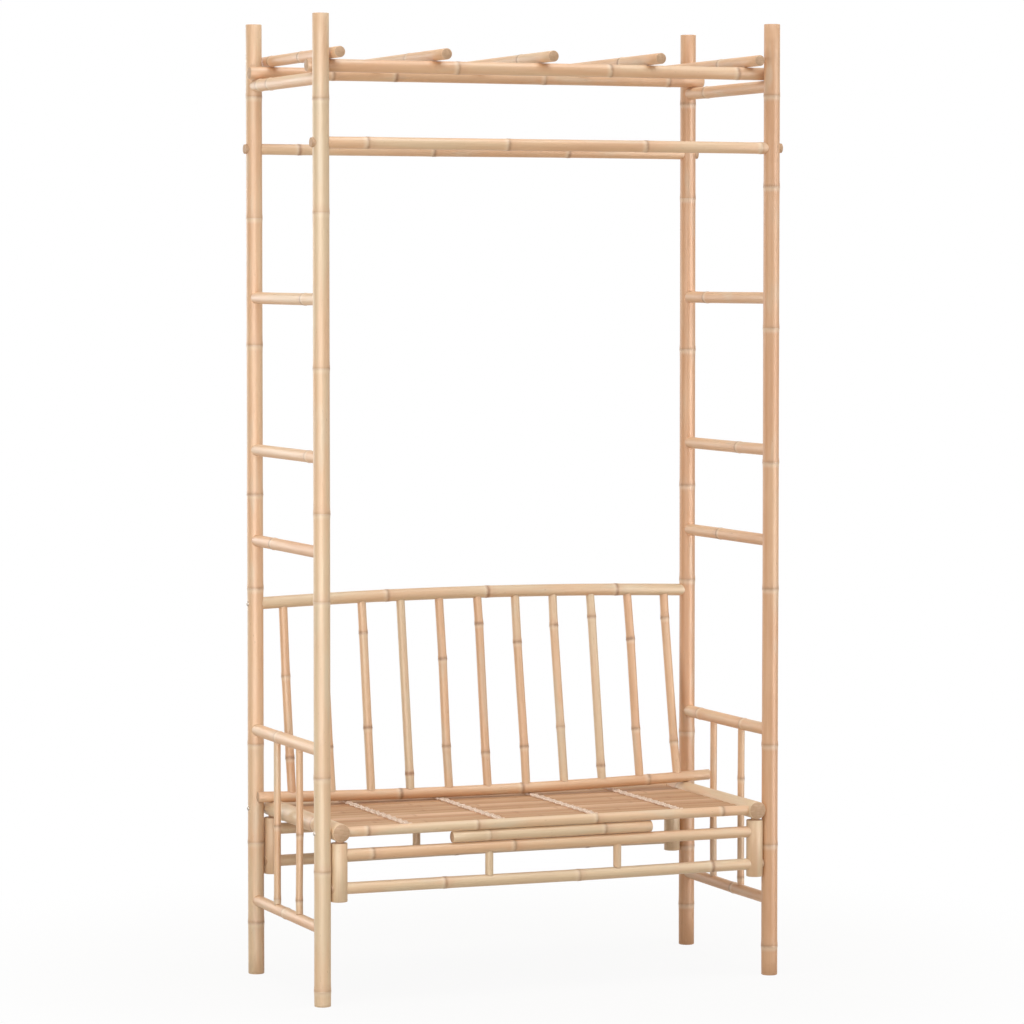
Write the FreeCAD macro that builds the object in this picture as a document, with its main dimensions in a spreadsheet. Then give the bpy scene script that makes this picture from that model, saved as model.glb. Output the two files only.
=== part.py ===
"""Arbour seat of round natural canes: a slatted bench between four tall posts under an open roof.

X runs along the bench, the sitter looks towards -Y and Z is up. The origin lies on the ground
under the middle of the seat. Lengths are in millimetres.
"""
import FreeCAD, Part

import os
import re

import Sketcher

# Name, value and meaning of every size. The radius of a post is that of its plain cane between rings.
SIZES = (
    ("post_height", 2200, "ground to the cut top of a post"),
    ("post_radius", 18.6, "corner post"),
    ("post_spacing_x", 1100, "between the axes of the left and right posts"),
    ("post_spacing_y", 463, "between the axes of the front and back posts"),
    ("post_bevel", 2, "worn rim at both ends of a post"),
    ("post_ring_rise", 1.8, "how far a growth ring stands out of a post"),
    ("leg_ring_rise", 1.1, "the same beside a leg, which leaves it less room"),
    ("post_ring_reach", 7, "half the length of a post's growth ring"),
    ("joint_gap", 0.3, "left between two canes that touch"),
    ("hole_gap", 0.2, "around a tenon or a bolt in its hole"),
    ("rung_radius", 13.5, "short rungs of the side frames"),
    ("rung_low_z", 1010, "axis of the low rungs"),
    ("rung_middle_z", 1220, "axis of the middle rungs"),
    ("rung_high_z", 1571, "axis of the high rungs"),
    ("arm_rail_radius", 14, "arm rest rails"),
    ("arm_rail_z", 570, "axis of the arm rest rails"),
    ("foot_rail_radius", 13, "lowest side rails"),
    ("foot_rail_left_z", 172, "axis of the left one"),
    ("foot_rail_right_z", 176, "axis of the right one"),
    ("spindle_radius", 8, "thin uprights under the arm rests"),
    ("spindle_spacing", 154, "between the two spindles of a side"),
    ("roof_side_radius", 14, "short rails that carry the roof beams"),
    ("roof_side_drop", 141.5, "axis of those short rails, below the top of the posts"),
    ("beam_radius", 14.5, "long roof beams"),
    ("beam_length", 1144, "long roof beams, end to end"),
    ("roof_bar_radius", 12.6, "cross bars on the roof beams"),
    ("roof_bar_length", 524, "cross bars, end to end"),
    ("header_front_radius", 13.2, "long rail under the roof, at the front"),
    ("header_front_drop", 284, "axis of the front header rail, below the top of the posts"),
    ("header_back_radius", 12.5, "long rail under the roof, at the back"),
    ("header_back_drop", 286, "axis of the back header rail, below the top of the posts"),
    ("header_tenon_radius", 11, "tenon of a header rail through its posts"),
    ("header_tenon_proud", 5, "how far that tenon stands out of the post"),
    ("back_rail_radius", 14.2, "bowed top rail of the back rest"),
    ("back_rail_end_z", 862.8, "axis of the top rail at the posts"),
    ("back_rail_bow", 11, "how much higher its middle is"),
    ("low_rail_radius", 12.5, "slanting rail under the back slats"),
    ("low_rail_sag", 8.5, "its middle, below the line through its two rests"),
    ("low_rail_saddle", 5, "how deep it is let in where it crosses the left side rail"),
    ("low_rail_right_y", 151, "its axis where it passes the right side"),
    ("low_rail_left_reach", 556, "from its middle to its left end"),
    ("low_rail_right_reach", 572, "from its middle to its right end"),
    ("back_slat_radius", 10, "upright canes of the back rest"),
    ("back_slat_head_spacing", 97, "between the heads of two upright canes"),
    ("back_slat_foot_spacing", 96.2, "between the feet of two upright canes"),
    ("back_slat_head_shift", 2, "middle of the row of heads, right of the seat's middle"),
    ("back_slat_foot_shift", 8.3, "middle of the row of feet, right of the seat's middle"),
    ("back_slat_gap", 0.7, "between two canes that cross aslant"),
    ("side_rail_radius", 20.2, "thick rails along the two ends of the bench"),
    ("side_rail_z", 386.7, "axis of the bench's side rails"),
    ("side_rail_length", 498, "bench side rails, end to end"),
    ("leg_radius", 19, "short legs under the side rails"),
    ("leg_foot_z", 232, "lower end of a leg"),
    ("leg_top_z", 363, "shoulder of a leg under its side rail"),
    ("leg_tenon_radius", 8, "tenon of a leg in its side rail"),
    ("leg_tenon_length", 16, "that tenon, up from the shoulder"),
    ("seat_rail_radius", 11.4, "front and back rails of the seat"),
    ("seat_rail_z", 386.7, "axis of the seat rails"),
    ("wedge_radius", 12.9, "half-length cane under the front seat rail"),
    ("wedge_length", 489.5, "that cane, end to end"),
    ("wedge_left_x", -241.5, "its left end"),
    ("upper_rail_radius", 13, "upper rails between the legs"),
    ("lower_rail_radius", 13.2, "lower rails between the legs"),
    ("lower_rail_z", 260.8, "axis of the lower rails"),
    ("lower_tenon_radius", 11, "tenon of a lower rail through its legs"),
    ("spacer_radius", 9.2, "short uprights between those rails"),
    ("spacer_spacing", 315, "between the left and right uprights"),
    ("spacer_shift", 6.4, "their middle, right of the bench's middle"),
    ("seat_top_z", 392, "top of the seat strips"),
    ("strip_width", 35.9, "one split-cane seat strip"),
    ("strip_space", 0.7, "between two seat strips"),
    ("strip_thickness", 5, "seat strip at its middle"),
    ("strip_edge", 3.6, "seat strip at its edges"),
    ("bearer_radius", 5.5, "thin canes under the seat strips"),
    ("bearer_setback", 5, "end of a bearer, from the seat rail's axis"),
    ("cord_width", 10, "lashing cord on the seat strips"),
    ("cord_thickness", 1.2, "the same cord, as it lies on the strips"),
    ("bolt_radius", 3.5, "shank of a bolt through a post"),
    ("bolt_head_radius", 5.5, "bolt head"),
    ("bolt_head_height", 2.5, "bolt head"),
    ("bolt_head_sink", 3.5, "how deep the heads of the right posts are let in"),
)

BACK_SLATS = 11

# Places of the cross bars, from the middle of the beams, as shares of the beam length
ROOF_BARS = (-0.451, -0.2308, -0.0061, 0.2246, 0.4414)

# Places of the canes under the seat strips, and of the cords over them, as shares of the seat's width
BEARERS = (-0.3325, -0.1112, 0.1121, 0.3208)

# Growth rings of each post, as shares of its height
POST_RINGS = {
    "front_left": (0.016, 0.137, 0.232, 0.410, 0.499, 0.645, 0.801, 0.915),
    "front_right": (0.031, 0.137, 0.244, 0.409, 0.542, 0.683, 0.831, 0.926),
    "back_left": (0.055, 0.138, 0.244, 0.409, 0.508, 0.665, 0.798, 0.925),
    "back_right": (0.045, 0.110, 0.236, 0.404, 0.508, 0.657, 0.822, 0.925),
}

# Places that follow from the sizes
POST_X = "(post_spacing_x / 2)"
POST_Y = "(post_spacing_y / 2)"
ROOF_SIDE_Z = "(post_height - roof_side_drop)"
HEADER_Z = {"front": "(post_height - header_front_drop)", "back": "(post_height - header_back_drop)"}
SIDE_RAIL_X = f"({POST_X} - post_radius - joint_gap - side_rail_radius)"
SEAT_WIDTH = f"(2 * {SIDE_RAIL_X})"
BEAM_Y = f"({POST_Y} - post_radius - joint_gap - beam_radius)"
BEAM_Z = f"({ROOF_SIDE_Z} + roof_side_radius + joint_gap + beam_radius)"
ROOF_BAR_Z = f"({BEAM_Z} + beam_radius + joint_gap + roof_bar_radius)"
WEDGE_Z = "(seat_rail_z - seat_rail_radius - joint_gap - wedge_radius)"
UPPER_RAIL_Z = f"({WEDGE_Z} - wedge_radius - joint_gap - upper_rail_radius)"
BEARER_Z = "(seat_top_z - strip_thickness - joint_gap - bearer_radius)"
BOLT_REACH = f"({POST_X} + post_radius - {SIDE_RAIL_X})"

# The top rail of the back is an arch. The low rail sags between the two side rails it lies on, and is
# a little lower on the left, where it is let in.
BACK_RAIL_ARC = f"(({POST_X}^2 + back_rail_bow^2) / (2 * back_rail_bow))"
BACK_RAIL_TOP_Z = "(back_rail_end_z + back_rail_bow)"
LOW_RAIL_ARC = f"(({SIDE_RAIL_X}^2 + low_rail_sag^2) / (2 * low_rail_sag))"
LOW_RAIL_REST_Z = "(side_rail_z + side_rail_radius + joint_gap + low_rail_radius)"
LOW_RAIL_Z = f"({LOW_RAIL_REST_Z} - low_rail_sag - low_rail_saddle / 2)"
LOW_RAIL_TILT = f"(low_rail_saddle / {SEAT_WIDTH})"
LOW_RAIL_LEFT_Y = f"({POST_Y} - post_radius - joint_gap - low_rail_radius)"
LOW_RAIL_SLOPE = f"(({LOW_RAIL_LEFT_Y} - low_rail_right_y) / post_spacing_x)"

# The sketch plane that each direction is normal to
NORMAL_PLANE = {"X": "YZ_Plane", "Y": "XZ_Plane", "Z": "XY_Plane"}
SIDES = (("left", -1), ("right", 1))
ENDS = (("front", -1), ("back", 1))

doc = FreeCAD.newDocument("ArbourSeat")
sheet = doc.addObject("Spreadsheet::Sheet", "Sizes")
for row, (name, value, meaning) in enumerate(SIZES, start=1):
    sheet.set(f"A{row}", name)
    sheet.set(f"B{row}", str(value))
    sheet.setAlias(f"B{row}", name)
    sheet.set(f"C{row}", meaning)
doc.recompute()

SIZE_NAMES = {name for name, value, meaning in SIZES}


def linked(formula):
    """Point each size's name in a formula at its cell of the sheet."""
    def cell(match):
        word = match.group()
        return f"Sizes.{word}" if word in SIZE_NAMES else word
    return re.sub(r"[a-z][a-z_0-9]*", cell, formula)


def amount(formula):
    """The present value of a formula."""
    return float(sheet.evalExpression(linked(formula)))


def new_body(name):
    body = doc.addObject("PartDesign::Body", name)
    body.Label = name
    return body


def origin_feature(body, role):
    return next(feature for feature in body.Origin.OriginFeatures if feature.Role == role)


def new_sketch(body, name, plane):
    sketch = body.newObject("Sketcher::SketchObject", f"{body.Name}_{name}")
    sketch.AttachmentSupport = (origin_feature(body, plane), [""])
    sketch.MapMode = "FlatFace"
    return sketch


def tie(sketch, constraint, formula):
    """Add a constraint whose value follows a formula."""
    number = sketch.addConstraint(constraint)
    sketch.setExpression(f"Constraints[{number}]", linked(formula))


def pin_point(sketch, geometry, point, across, up):
    """Hold one sketch point at its place, measured from the sketch's origin."""
    for kind, formula, axis in (("DistanceX", across, -2), ("DistanceY", up, -1)):
        value = amount(formula)
        if abs(value) < 1e-9:
            sketch.addConstraint(Sketcher.Constraint("PointOnObject", geometry, point, axis))
        elif value > 0:
            tie(sketch, Sketcher.Constraint(kind, -1, 1, geometry, point, value), formula)
        else:
            tie(sketch, Sketcher.Constraint(kind, geometry, point, -1, 1, -value), f"-({formula})")


def add_circle(sketch, across, up, radius):
    centre = FreeCAD.Vector(amount(across), amount(up), 0)
    number = sketch.addGeometry(Part.Circle(centre, FreeCAD.Vector(0, 0, 1), amount(radius)))
    pin_point(sketch, number, 3, across, up)
    tie(sketch, Sketcher.Constraint("Radius", number, amount(radius)), radius)


def add_outline(sketch, corners):
    """Draw a closed outline of straight lines through corners given as formulas."""
    points = [FreeCAD.Vector(amount(across), amount(up), 0) for across, up in corners]
    count = len(points)
    for number in range(count):
        sketch.addGeometry(Part.LineSegment(points[number], points[(number + 1) % count]))
    for number in range(count):
        sketch.addConstraint(Sketcher.Constraint("Coincident", number, 2, (number + 1) % count, 1))
    for number, (across, up) in enumerate(corners):
        pin_point(sketch, number, 1, across, up)


def place(body, across, deep, high):
    """Bind the place of a body's own origin in the seat's frame."""
    for axis, formula in (("x", across), ("y", deep), ("z", high)):
        body.setExpression(f"Placement.Base.{axis}", linked(formula))


def turned(name, along, corners):
    """A body turned about its own X, Y or Z axis from its half outline of (place, radius) corners."""
    body = new_body(name)
    if along == "Z":
        sketch = new_sketch(body, "outline", "XZ_Plane")
        add_outline(sketch, [(radius, station) for station, radius in corners])
    else:
        sketch = new_sketch(body, "outline", "XY_Plane" if along == "X" else "YZ_Plane")
        add_outline(sketch, corners)
    revolution = body.newObject("PartDesign::Revolution", f"{name}_turned")
    revolution.Profile = sketch
    revolution.ReferenceAxis = (sketch, ["V_Axis" if along == "Z" else "H_Axis"])
    revolution.Angle = 360
    return body


def cane(name, along, length, radius):
    """A straight cane from its own origin."""
    return turned(name, along, [("0", "0"), ("0", radius), (length, radius), (length, "0")])


def cut_round(body, name, along, circles, side="Symmetric", reverse=False, offset="0"):
    """Cut round holes or saddles that run along X, Y or Z, each circle as (across, up, radius)."""
    sketch = new_sketch(body, name, NORMAL_PLANE[along])
    sketch.setExpression("AttachmentOffset.Base.z", linked(offset))
    for across, up, radius in circles:
        add_circle(sketch, across, up, radius)
    pocket = body.newObject("PartDesign::Pocket", f"{body.Name}_{name}_cut")
    pocket.Profile = sketch
    pocket.Type = "ThroughAll"
    pocket.SideType = side
    pocket.Reversed = reverse
    return pocket


def add_tenon(body, along, radius, forward, backward="0"):
    """Add a round tenon on the cane's own axis, past its far end and, if asked, behind its origin."""
    sketch = new_sketch(body, "tenon", NORMAL_PLANE[along])
    add_circle(sketch, "0", "0", radius)
    pad = body.newObject("PartDesign::Pad", f"{body.Name}_tenon_pad")
    pad.Profile = sketch
    pad.setExpression("Length", linked(forward))
    if backward != "0":
        pad.SideType = "Two sides"
        pad.setExpression("Length2", linked(backward))


def repeat(body, along, length, copies, across=None, width=None):
    """Repeat all that a body holds in a row of copies, or in two such rows side by side."""
    solid_features = ("PartDesign::Revolution", "PartDesign::Pad", "PartDesign::Pocket")
    originals = [feature for feature in body.Group if feature.TypeId in solid_features]
    pattern = body.newObject("PartDesign::LinearPattern", f"{body.Name}_row")
    pattern.Originals = originals
    pattern.Direction = (origin_feature(body, f"{along}_Axis"), [""])
    pattern.setExpression("Length", linked(length))
    pattern.setExpression("Occurrences", linked(copies))
    if across:
        pattern.Direction2 = (origin_feature(body, f"{across}_Axis"), [""])
        pattern.setExpression("Length2", linked(width))
        pattern.Occurrences2 = 2
    body.Tip = pattern


def bowed_cane(name, radius, arc, centre_up, left_reach, right_reach):
    """A cane bent to a circular arc in its own XZ plane, with its middle at its origin.

    centre_up is 1 where the arc's centre lies above the cane, so that it sags, and -1 for an arch.
    """
    body = new_body(name)
    sketch = new_sketch(body, "section", "YZ_Plane")
    add_circle(sketch, "0", "0", radius)
    pivot = amount(arc) * centre_up
    start = FreeCAD.Vector(-amount(radius), pivot, 0)
    end = FreeCAD.Vector(amount(radius), pivot, 0)
    sketch.addGeometry(Part.LineSegment(start, end), True)
    pin_point(sketch, 1, 1, f"-{radius}", f"{centre_up} * {arc}")
    pin_point(sketch, 1, 2, radius, f"{centre_up} * {arc}")
    revolution = body.newObject("PartDesign::Revolution", f"{name}_bent")
    revolution.Profile = sketch
    revolution.ReferenceAxis = (sketch, ["Axis0"])
    revolution.Type = "TwoAngles"
    reaches = (left_reach, right_reach) if centre_up > 0 else (right_reach, left_reach)
    revolution.setExpression("Angle", linked(f"asin({reaches[0]} / {arc})"))
    revolution.setExpression("Angle2", linked(f"asin({reaches[1]} / {arc})"))
    return body


def clear_rings(shares, joints):
    """The growth rings of a post that no joint covers, joints given as (place, half width)."""
    kept = []
    for share in shares:
        ring_z = amount(f"post_height * {share}")
        room = amount("post_ring_reach - 1")
        if all(abs(ring_z - amount(spot)) > amount(half) + room for spot, half in joints):
            kept.append(share)
    return kept


def ring_rise(share):
    """The rise of a post's growth ring, which is less beside a leg."""
    ring_z = amount(f"post_height * {share}")
    beside_leg = amount("leg_foot_z - post_ring_reach") < ring_z < amount("leg_top_z + post_ring_reach")
    return "leg_ring_rise" if beside_leg else "post_ring_rise"


def post(side, sign, end, depth_sign):
    """A corner post from the ground up, with holes for the header rail's tenon and the bolts.

    The bolt heads stand out of the left posts and are let into the right ones.
    """
    joints = [
        (f"foot_rail_{side}_z", "foot_rail_radius"),
        ("lower_rail_z", "lower_tenon_radius"),
        ("side_rail_z", "side_rail_radius"),
        ("arm_rail_z", "arm_rail_radius"),
        ("rung_low_z", "rung_radius"),
        ("rung_middle_z", "rung_radius"),
        ("rung_high_z", "rung_radius"),
        (HEADER_Z[end], f"header_{end}_radius"),
        (ROOF_SIDE_Z, "roof_side_radius"),
        (BEAM_Z, "beam_radius"),
    ]
    if end == "back":
        joints.append(("back_rail_end_z", "back_rail_radius"))
    corners = [("0", "0"), ("0", "post_radius - post_bevel"), ("post_bevel", "post_radius")]
    for share in clear_rings(POST_RINGS[f"{end}_{side}"], joints):
        middle = f"post_height * {share}"
        corners.append((f"{middle} - post_ring_reach", "post_radius"))
        corners.append((middle, f"post_radius + {ring_rise(share)}"))
        corners.append((f"{middle} + post_ring_reach", "post_radius"))
    corners.append(("post_height - post_bevel", "post_radius"))
    corners.append(("post_height", "post_radius - post_bevel"))
    corners.append(("post_height", "0"))
    body = turned(f"post_{end}_{side}", "Z", corners)
    holes = [
        ("0", HEADER_Z[end], "header_tenon_radius + hole_gap"),
        ("0", "side_rail_z", "bolt_radius + hole_gap"),
    ]
    if end == "back":
        holes.append(("0", "back_rail_end_z", "bolt_radius + hole_gap"))
    cut_round(body, "holes", "X", holes)
    if side == "right":
        recesses = [("0", high, "bolt_head_radius + hole_gap") for across, high, radius in holes[1:]]
        floor = "post_radius - bolt_head_sink - hole_gap"
        cut_round(body, "recesses", "X", recesses, side="One side", reverse=True, offset=floor)
    place(body, f"{sign} * {POST_X}", f"{depth_sign} * {POST_Y}", "0")
    return body


def side_cane(name, sign, high, radius):
    """A cane from the front post to the back post of one side, saddled on both."""
    body = cane(name, "Y", "post_spacing_y", radius)
    saddle = "post_radius + joint_gap"
    cut_round(body, "saddles", "Z", [("0", "0", saddle), ("0", "post_spacing_y", saddle)])
    place(body, f"{sign} * {POST_X}", f"-{POST_Y}", high)
    return body


def spindle(side, sign, end, depth_sign):
    """A thin upright from the lowest side rail to the arm rail."""
    length = f"(arm_rail_z - foot_rail_{side}_z)"
    body = cane(f"spindle_{side}_{end}", "Z", length, "spindle_radius")
    foot = ("0", "0", "foot_rail_radius + joint_gap")
    head = ("0", length, "arm_rail_radius + joint_gap")
    cut_round(body, "saddles", "Y", [foot, head])
    place(body, f"{sign} * {POST_X}", f"{depth_sign} * spindle_spacing / 2", f"foot_rail_{side}_z")
    return body


def side_frames():
    canes = []
    for side, sign in SIDES:
        for end, depth_sign in ENDS:
            canes.append(post(side, sign, end, depth_sign))
            canes.append(spindle(side, sign, end, depth_sign))
        for level in ("low", "middle", "high"):
            canes.append(side_cane(f"rung_{side}_{level}", sign, f"rung_{level}_z", "rung_radius"))
        canes.append(side_cane(f"arm_rail_{side}", sign, "arm_rail_z", "arm_rail_radius"))
        canes.append(side_cane(f"foot_rail_{side}", sign, f"foot_rail_{side}_z", "foot_rail_radius"))
        canes.append(side_cane(f"roof_side_rail_{side}", sign, ROOF_SIDE_Z, "roof_side_radius"))
    return canes


def roof_beam(end, depth_sign):
    """A long beam that lies on the roof's side rails, against the inner faces of the posts."""
    body = cane(f"roof_beam_{end}", "X", "beam_length", "beam_radius")
    place(body, "-beam_length / 2", f"{depth_sign} * {BEAM_Y}", BEAM_Z)
    return body


def roof_bar(number, share):
    """A cross bar that lies on the two beams."""
    body = cane(f"roof_bar_{number}", "Y", "roof_bar_length", "roof_bar_radius")
    place(body, f"{share} * beam_length", "-roof_bar_length / 2", ROOF_BAR_Z)
    return body


def header_rail(end, depth_sign):
    """A long rail under the roof, shouldered on both posts, with tenons right through them."""
    body = cane(f"header_rail_{end}", "X", "post_spacing_x", f"header_{end}_radius")
    saddle = "post_radius + joint_gap"
    cut_round(body, "saddles", "Z", [("0", "0", saddle), ("post_spacing_x", "0", saddle)])
    proud = "(post_radius + header_tenon_proud)"
    add_tenon(body, "X", "header_tenon_radius", f"post_spacing_x + {proud}", proud)
    place(body, f"-{POST_X}", f"{depth_sign} * {POST_Y}", HEADER_Z[end])
    return body


def roof():
    canes = [roof_beam(end, depth_sign) for end, depth_sign in ENDS]
    canes += [header_rail(end, depth_sign) for end, depth_sign in ENDS]
    canes += [roof_bar(number, share) for number, share in enumerate(ROOF_BARS, start=1)]
    return canes


def side_rail(side, sign):
    """A thick rail on top of two legs, bolted to two posts."""
    body = cane(f"seat_side_rail_{side}", "Y", "side_rail_length", "side_rail_radius")
    stations = [f"side_rail_length / 2 + {depth_sign} * {POST_Y}" for end, depth_sign in ENDS]
    tenon_holes = [("0", station, "leg_tenon_radius + hole_gap") for station in stations]
    bolt_holes = [(station, "0", "bolt_radius + hole_gap") for station in stations]
    hole_top = "leg_top_z + leg_tenon_length + joint_gap - side_rail_z"
    cut_round(body, "tenon_holes", "Z", tenon_holes, side="One side", offset=hole_top)
    cut_round(body, "bolt_holes", "X", bolt_holes, side="One side", reverse=sign > 0)
    place(body, f"{sign} * {SIDE_RAIL_X}", "-side_rail_length / 2", "side_rail_z")
    return body


def leg(side, sign, end, depth_sign):
    """A short leg beside a post, tenoned up into the side rail and bored for the lower rail."""
    body = cane(f"leg_{end}_{side}", "Z", "(leg_top_z - leg_foot_z)", "leg_radius")
    add_tenon(body, "Z", "leg_tenon_radius", "leg_top_z + leg_tenon_length - leg_foot_z")
    hole = ("0", "lower_rail_z - leg_foot_z", "lower_tenon_radius + hole_gap")
    cut_round(body, "rail_hole", "X", [hole])
    place(body, f"{sign} * {SIDE_RAIL_X}", f"{depth_sign} * {POST_Y}", "leg_foot_z")
    return body


def seat_rail(end, depth_sign):
    """A long rail of the seat, saddled on the two side rails."""
    body = cane(f"seat_rail_{end}", "X", SEAT_WIDTH, "seat_rail_radius")
    drop = "side_rail_z - seat_rail_z"
    saddle = "side_rail_radius + joint_gap"
    cut_round(body, "saddles", "Y", [("0", drop, saddle), (SEAT_WIDTH, drop, saddle)])
    place(body, f"-{SIDE_RAIL_X}", f"{depth_sign} * {POST_Y}", "seat_rail_z")
    return body


def leg_rail(level, end, depth_sign, high):
    """A rail between two legs, saddled on both."""
    body = cane(f"{level}_rail_{end}", "X", SEAT_WIDTH, f"{level}_rail_radius")
    saddle = "leg_radius + joint_gap"
    cut_round(body, "saddles", "Z", [("0", "0", saddle), (SEAT_WIDTH, "0", saddle)])
    place(body, f"-{SIDE_RAIL_X}", f"{depth_sign} * {POST_Y}", high)
    return body


def lower_rail(end, depth_sign):
    """A lower rail, whose tenons pass through the legs and stop at the posts."""
    body = leg_rail("lower", end, depth_sign, "lower_rail_z")
    past = f"({POST_X} - post_radius - joint_gap - {SIDE_RAIL_X})"
    add_tenon(body, "X", "lower_tenon_radius", f"{SEAT_WIDTH} + {past}", past)
    return body


def spacers():
    """Four short uprights between the lower and upper rails, two at the front and two at the back."""
    length = f"({UPPER_RAIL_Z} - lower_rail_z)"
    body = cane("bench_spacers", "Z", length, "spacer_radius")
    foot = ("0", "0", "lower_rail_radius + joint_gap")
    head = ("0", length, "upper_rail_radius + joint_gap")
    cut_round(body, "saddles", "X", [foot, head])
    repeat(body, "X", "spacer_spacing", "2", "Y", "post_spacing_y")
    place(body, "spacer_shift - spacer_spacing / 2", f"-{POST_Y}", "lower_rail_z")
    return body


def wedged_pole():
    """A half-length cane held between the front seat rail and the upper rail under it."""
    body = cane("wedged_pole", "X", "wedge_length", "wedge_radius")
    place(body, "wedge_left_x", f"-{POST_Y}", WEDGE_Z)
    return body


def seat_strips():
    """The seat's split-cane strips, flat below and a little rounded above, side by side."""
    pitch = "(strip_width + strip_space)"
    copies = f"floor((post_spacing_y - 2 * seat_rail_radius + strip_space) / {pitch})"
    body = new_body("seat_strips")
    sketch = new_sketch(body, "section", "YZ_Plane")
    corners = (("0", "strip_edge"), ("0", "0"), ("strip_width", "0"), ("strip_width", "strip_edge"))
    points = [FreeCAD.Vector(amount(across), amount(up), 0) for across, up in corners]
    for number in range(3):
        sketch.addGeometry(Part.LineSegment(points[number], points[number + 1]))
    crown = FreeCAD.Vector(amount("strip_width") / 2, amount("strip_thickness"), 0)
    sketch.addGeometry(Part.Arc(points[3], crown, points[0]))
    for number in range(3):
        sketch.addConstraint(Sketcher.Constraint("Coincident", number, 2, number + 1, 1))
    sketch.addConstraint(Sketcher.Constraint("Coincident", 3, 2, 0, 1))
    for number in range(3):
        pin_point(sketch, number, 1, *corners[number])
    pin_point(sketch, 3, 1, *corners[3])
    rise = "(strip_thickness - strip_edge)"
    bend = f"((strip_width / 2)^2 + {rise}^2) / (2 * {rise})"
    tie(sketch, Sketcher.Constraint("Radius", 3, amount(bend)), bend)
    pad = body.newObject("PartDesign::Pad", "strip_pad")
    pad.Profile = sketch
    pad.SideType = "Symmetric"
    pad.setExpression("Length", linked(f"{SEAT_WIDTH} - 2 * (side_rail_radius + joint_gap)"))
    repeat(body, "Y", f"({copies} - 1) * {pitch}", copies)
    half_depth = f"({copies} * {pitch} - strip_space) / 2"
    place(body, "0", f"-{half_depth}", "seat_top_z - strip_thickness")
    return body


def grouped(name, singles):
    """Several like bodies as one node."""
    group = doc.addObject("Part::Compound", name)
    group.Label = name
    group.Links = singles
    return group


def seat_bearers():
    """Thin canes under the strips, from seat rail to seat rail, hollowed to fit round each rail."""
    length = "(post_spacing_y - 2 * bearer_setback)"
    rise = f"(seat_rail_z - {BEARER_Z})"
    saddle = "seat_rail_radius + joint_gap"
    front = ("-bearer_setback", rise, saddle)
    back = (f"{length} + bearer_setback", rise, saddle)
    singles = []
    for number, share in enumerate(BEARERS, start=1):
        body = cane(f"seat_bearer_{number}", "Y", length, "bearer_radius")
        cut_round(body, "saddles", "X", [front, back])
        place(body, f"{share} * {SEAT_WIDTH}", f"-{POST_Y} + bearer_setback", BEARER_Z)
        singles.append(body)
    return grouped("seat_bearers", singles)


def cord_stitches():
    """The lashing cord over each bearer, as a flat band on the strips."""
    half = "cord_width / 2"
    corners = ((f"-{half}", "0"), (half, "0"), (half, "cord_thickness"), (f"-{half}", "cord_thickness"))
    singles = []
    for number, share in enumerate(BEARERS, start=1):
        body = new_body(f"cord_stitch_{number}")
        sketch = new_sketch(body, "section", "XZ_Plane")
        add_outline(sketch, corners)
        pad = body.newObject("PartDesign::Pad", f"{body.Name}_pad")
        pad.Profile = sketch
        pad.SideType = "Symmetric"
        pad.setExpression("Length", linked("post_spacing_y - 2 * (seat_rail_radius + cord_thickness)"))
        place(body, f"{share} * {SEAT_WIDTH}", "0", "seat_top_z + joint_gap")
        singles.append(body)
    return grouped("cord_stitches", singles)


def bench():
    pieces = []
    for side, sign in SIDES:
        pieces.append(side_rail(side, sign))
        for end, depth_sign in ENDS:
            pieces.append(leg(side, sign, end, depth_sign))
    for end, depth_sign in ENDS:
        pieces.append(seat_rail(end, depth_sign))
        pieces.append(leg_rail("upper", end, depth_sign, UPPER_RAIL_Z))
        pieces.append(lower_rail(end, depth_sign))
    pieces += [spacers(), wedged_pole(), seat_strips(), seat_bearers(), cord_stitches()]
    return pieces


def top_back_rail():
    """The arched top rail, saddled on the two back posts and bored for their bolts."""
    body = bowed_cane("back_rail_top", "back_rail_radius", BACK_RAIL_ARC, -1, POST_X, POST_X)
    saddle = "post_radius + joint_gap"
    cut_round(body, "saddles", "Z", [(f"-{POST_X}", "0", saddle), (POST_X, "0", saddle)])
    for side, sign in SIDES:
        bolt_hole = [("0", "-back_rail_bow", "bolt_radius + hole_gap")]
        depth = f"{sign} * {SIDE_RAIL_X}"
        cut_round(body, f"bolt_hole_{side}", "X", bolt_hole, "One side", sign > 0, depth)
    place(body, "0", POST_Y, BACK_RAIL_TOP_Z)
    return body


def low_back_rail():
    """The rail under the back slats. It lies askew on the side rails, against the left back post."""
    reaches = ("low_rail_left_reach", "low_rail_right_reach")
    body = bowed_cane("back_rail_low", "low_rail_radius", LOW_RAIL_ARC, 1, *reaches)
    crossing = f"-{SIDE_RAIL_X} * sqrt(1 + {LOW_RAIL_SLOPE}^2)"
    drop = "low_rail_sag + low_rail_saddle - side_rail_radius - joint_gap - low_rail_radius"
    cut_round(body, "saddle", "Y", [(crossing, drop, "side_rail_radius + back_slat_gap")])
    slant = sheet.evalExpression(linked(f"atan({LOW_RAIL_SLOPE})")).Value
    tilt = sheet.evalExpression(linked(f"atan({LOW_RAIL_TILT})")).Value
    turn = FreeCAD.Rotation(FreeCAD.Vector(0, 0, 1), -slant)
    body.Placement.Rotation = turn * FreeCAD.Rotation(FreeCAD.Vector(0, 1, 0), -tilt)
    place(body, "0", f"({LOW_RAIL_LEFT_Y} + low_rail_right_y) / 2", LOW_RAIL_Z)
    return body


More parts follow.
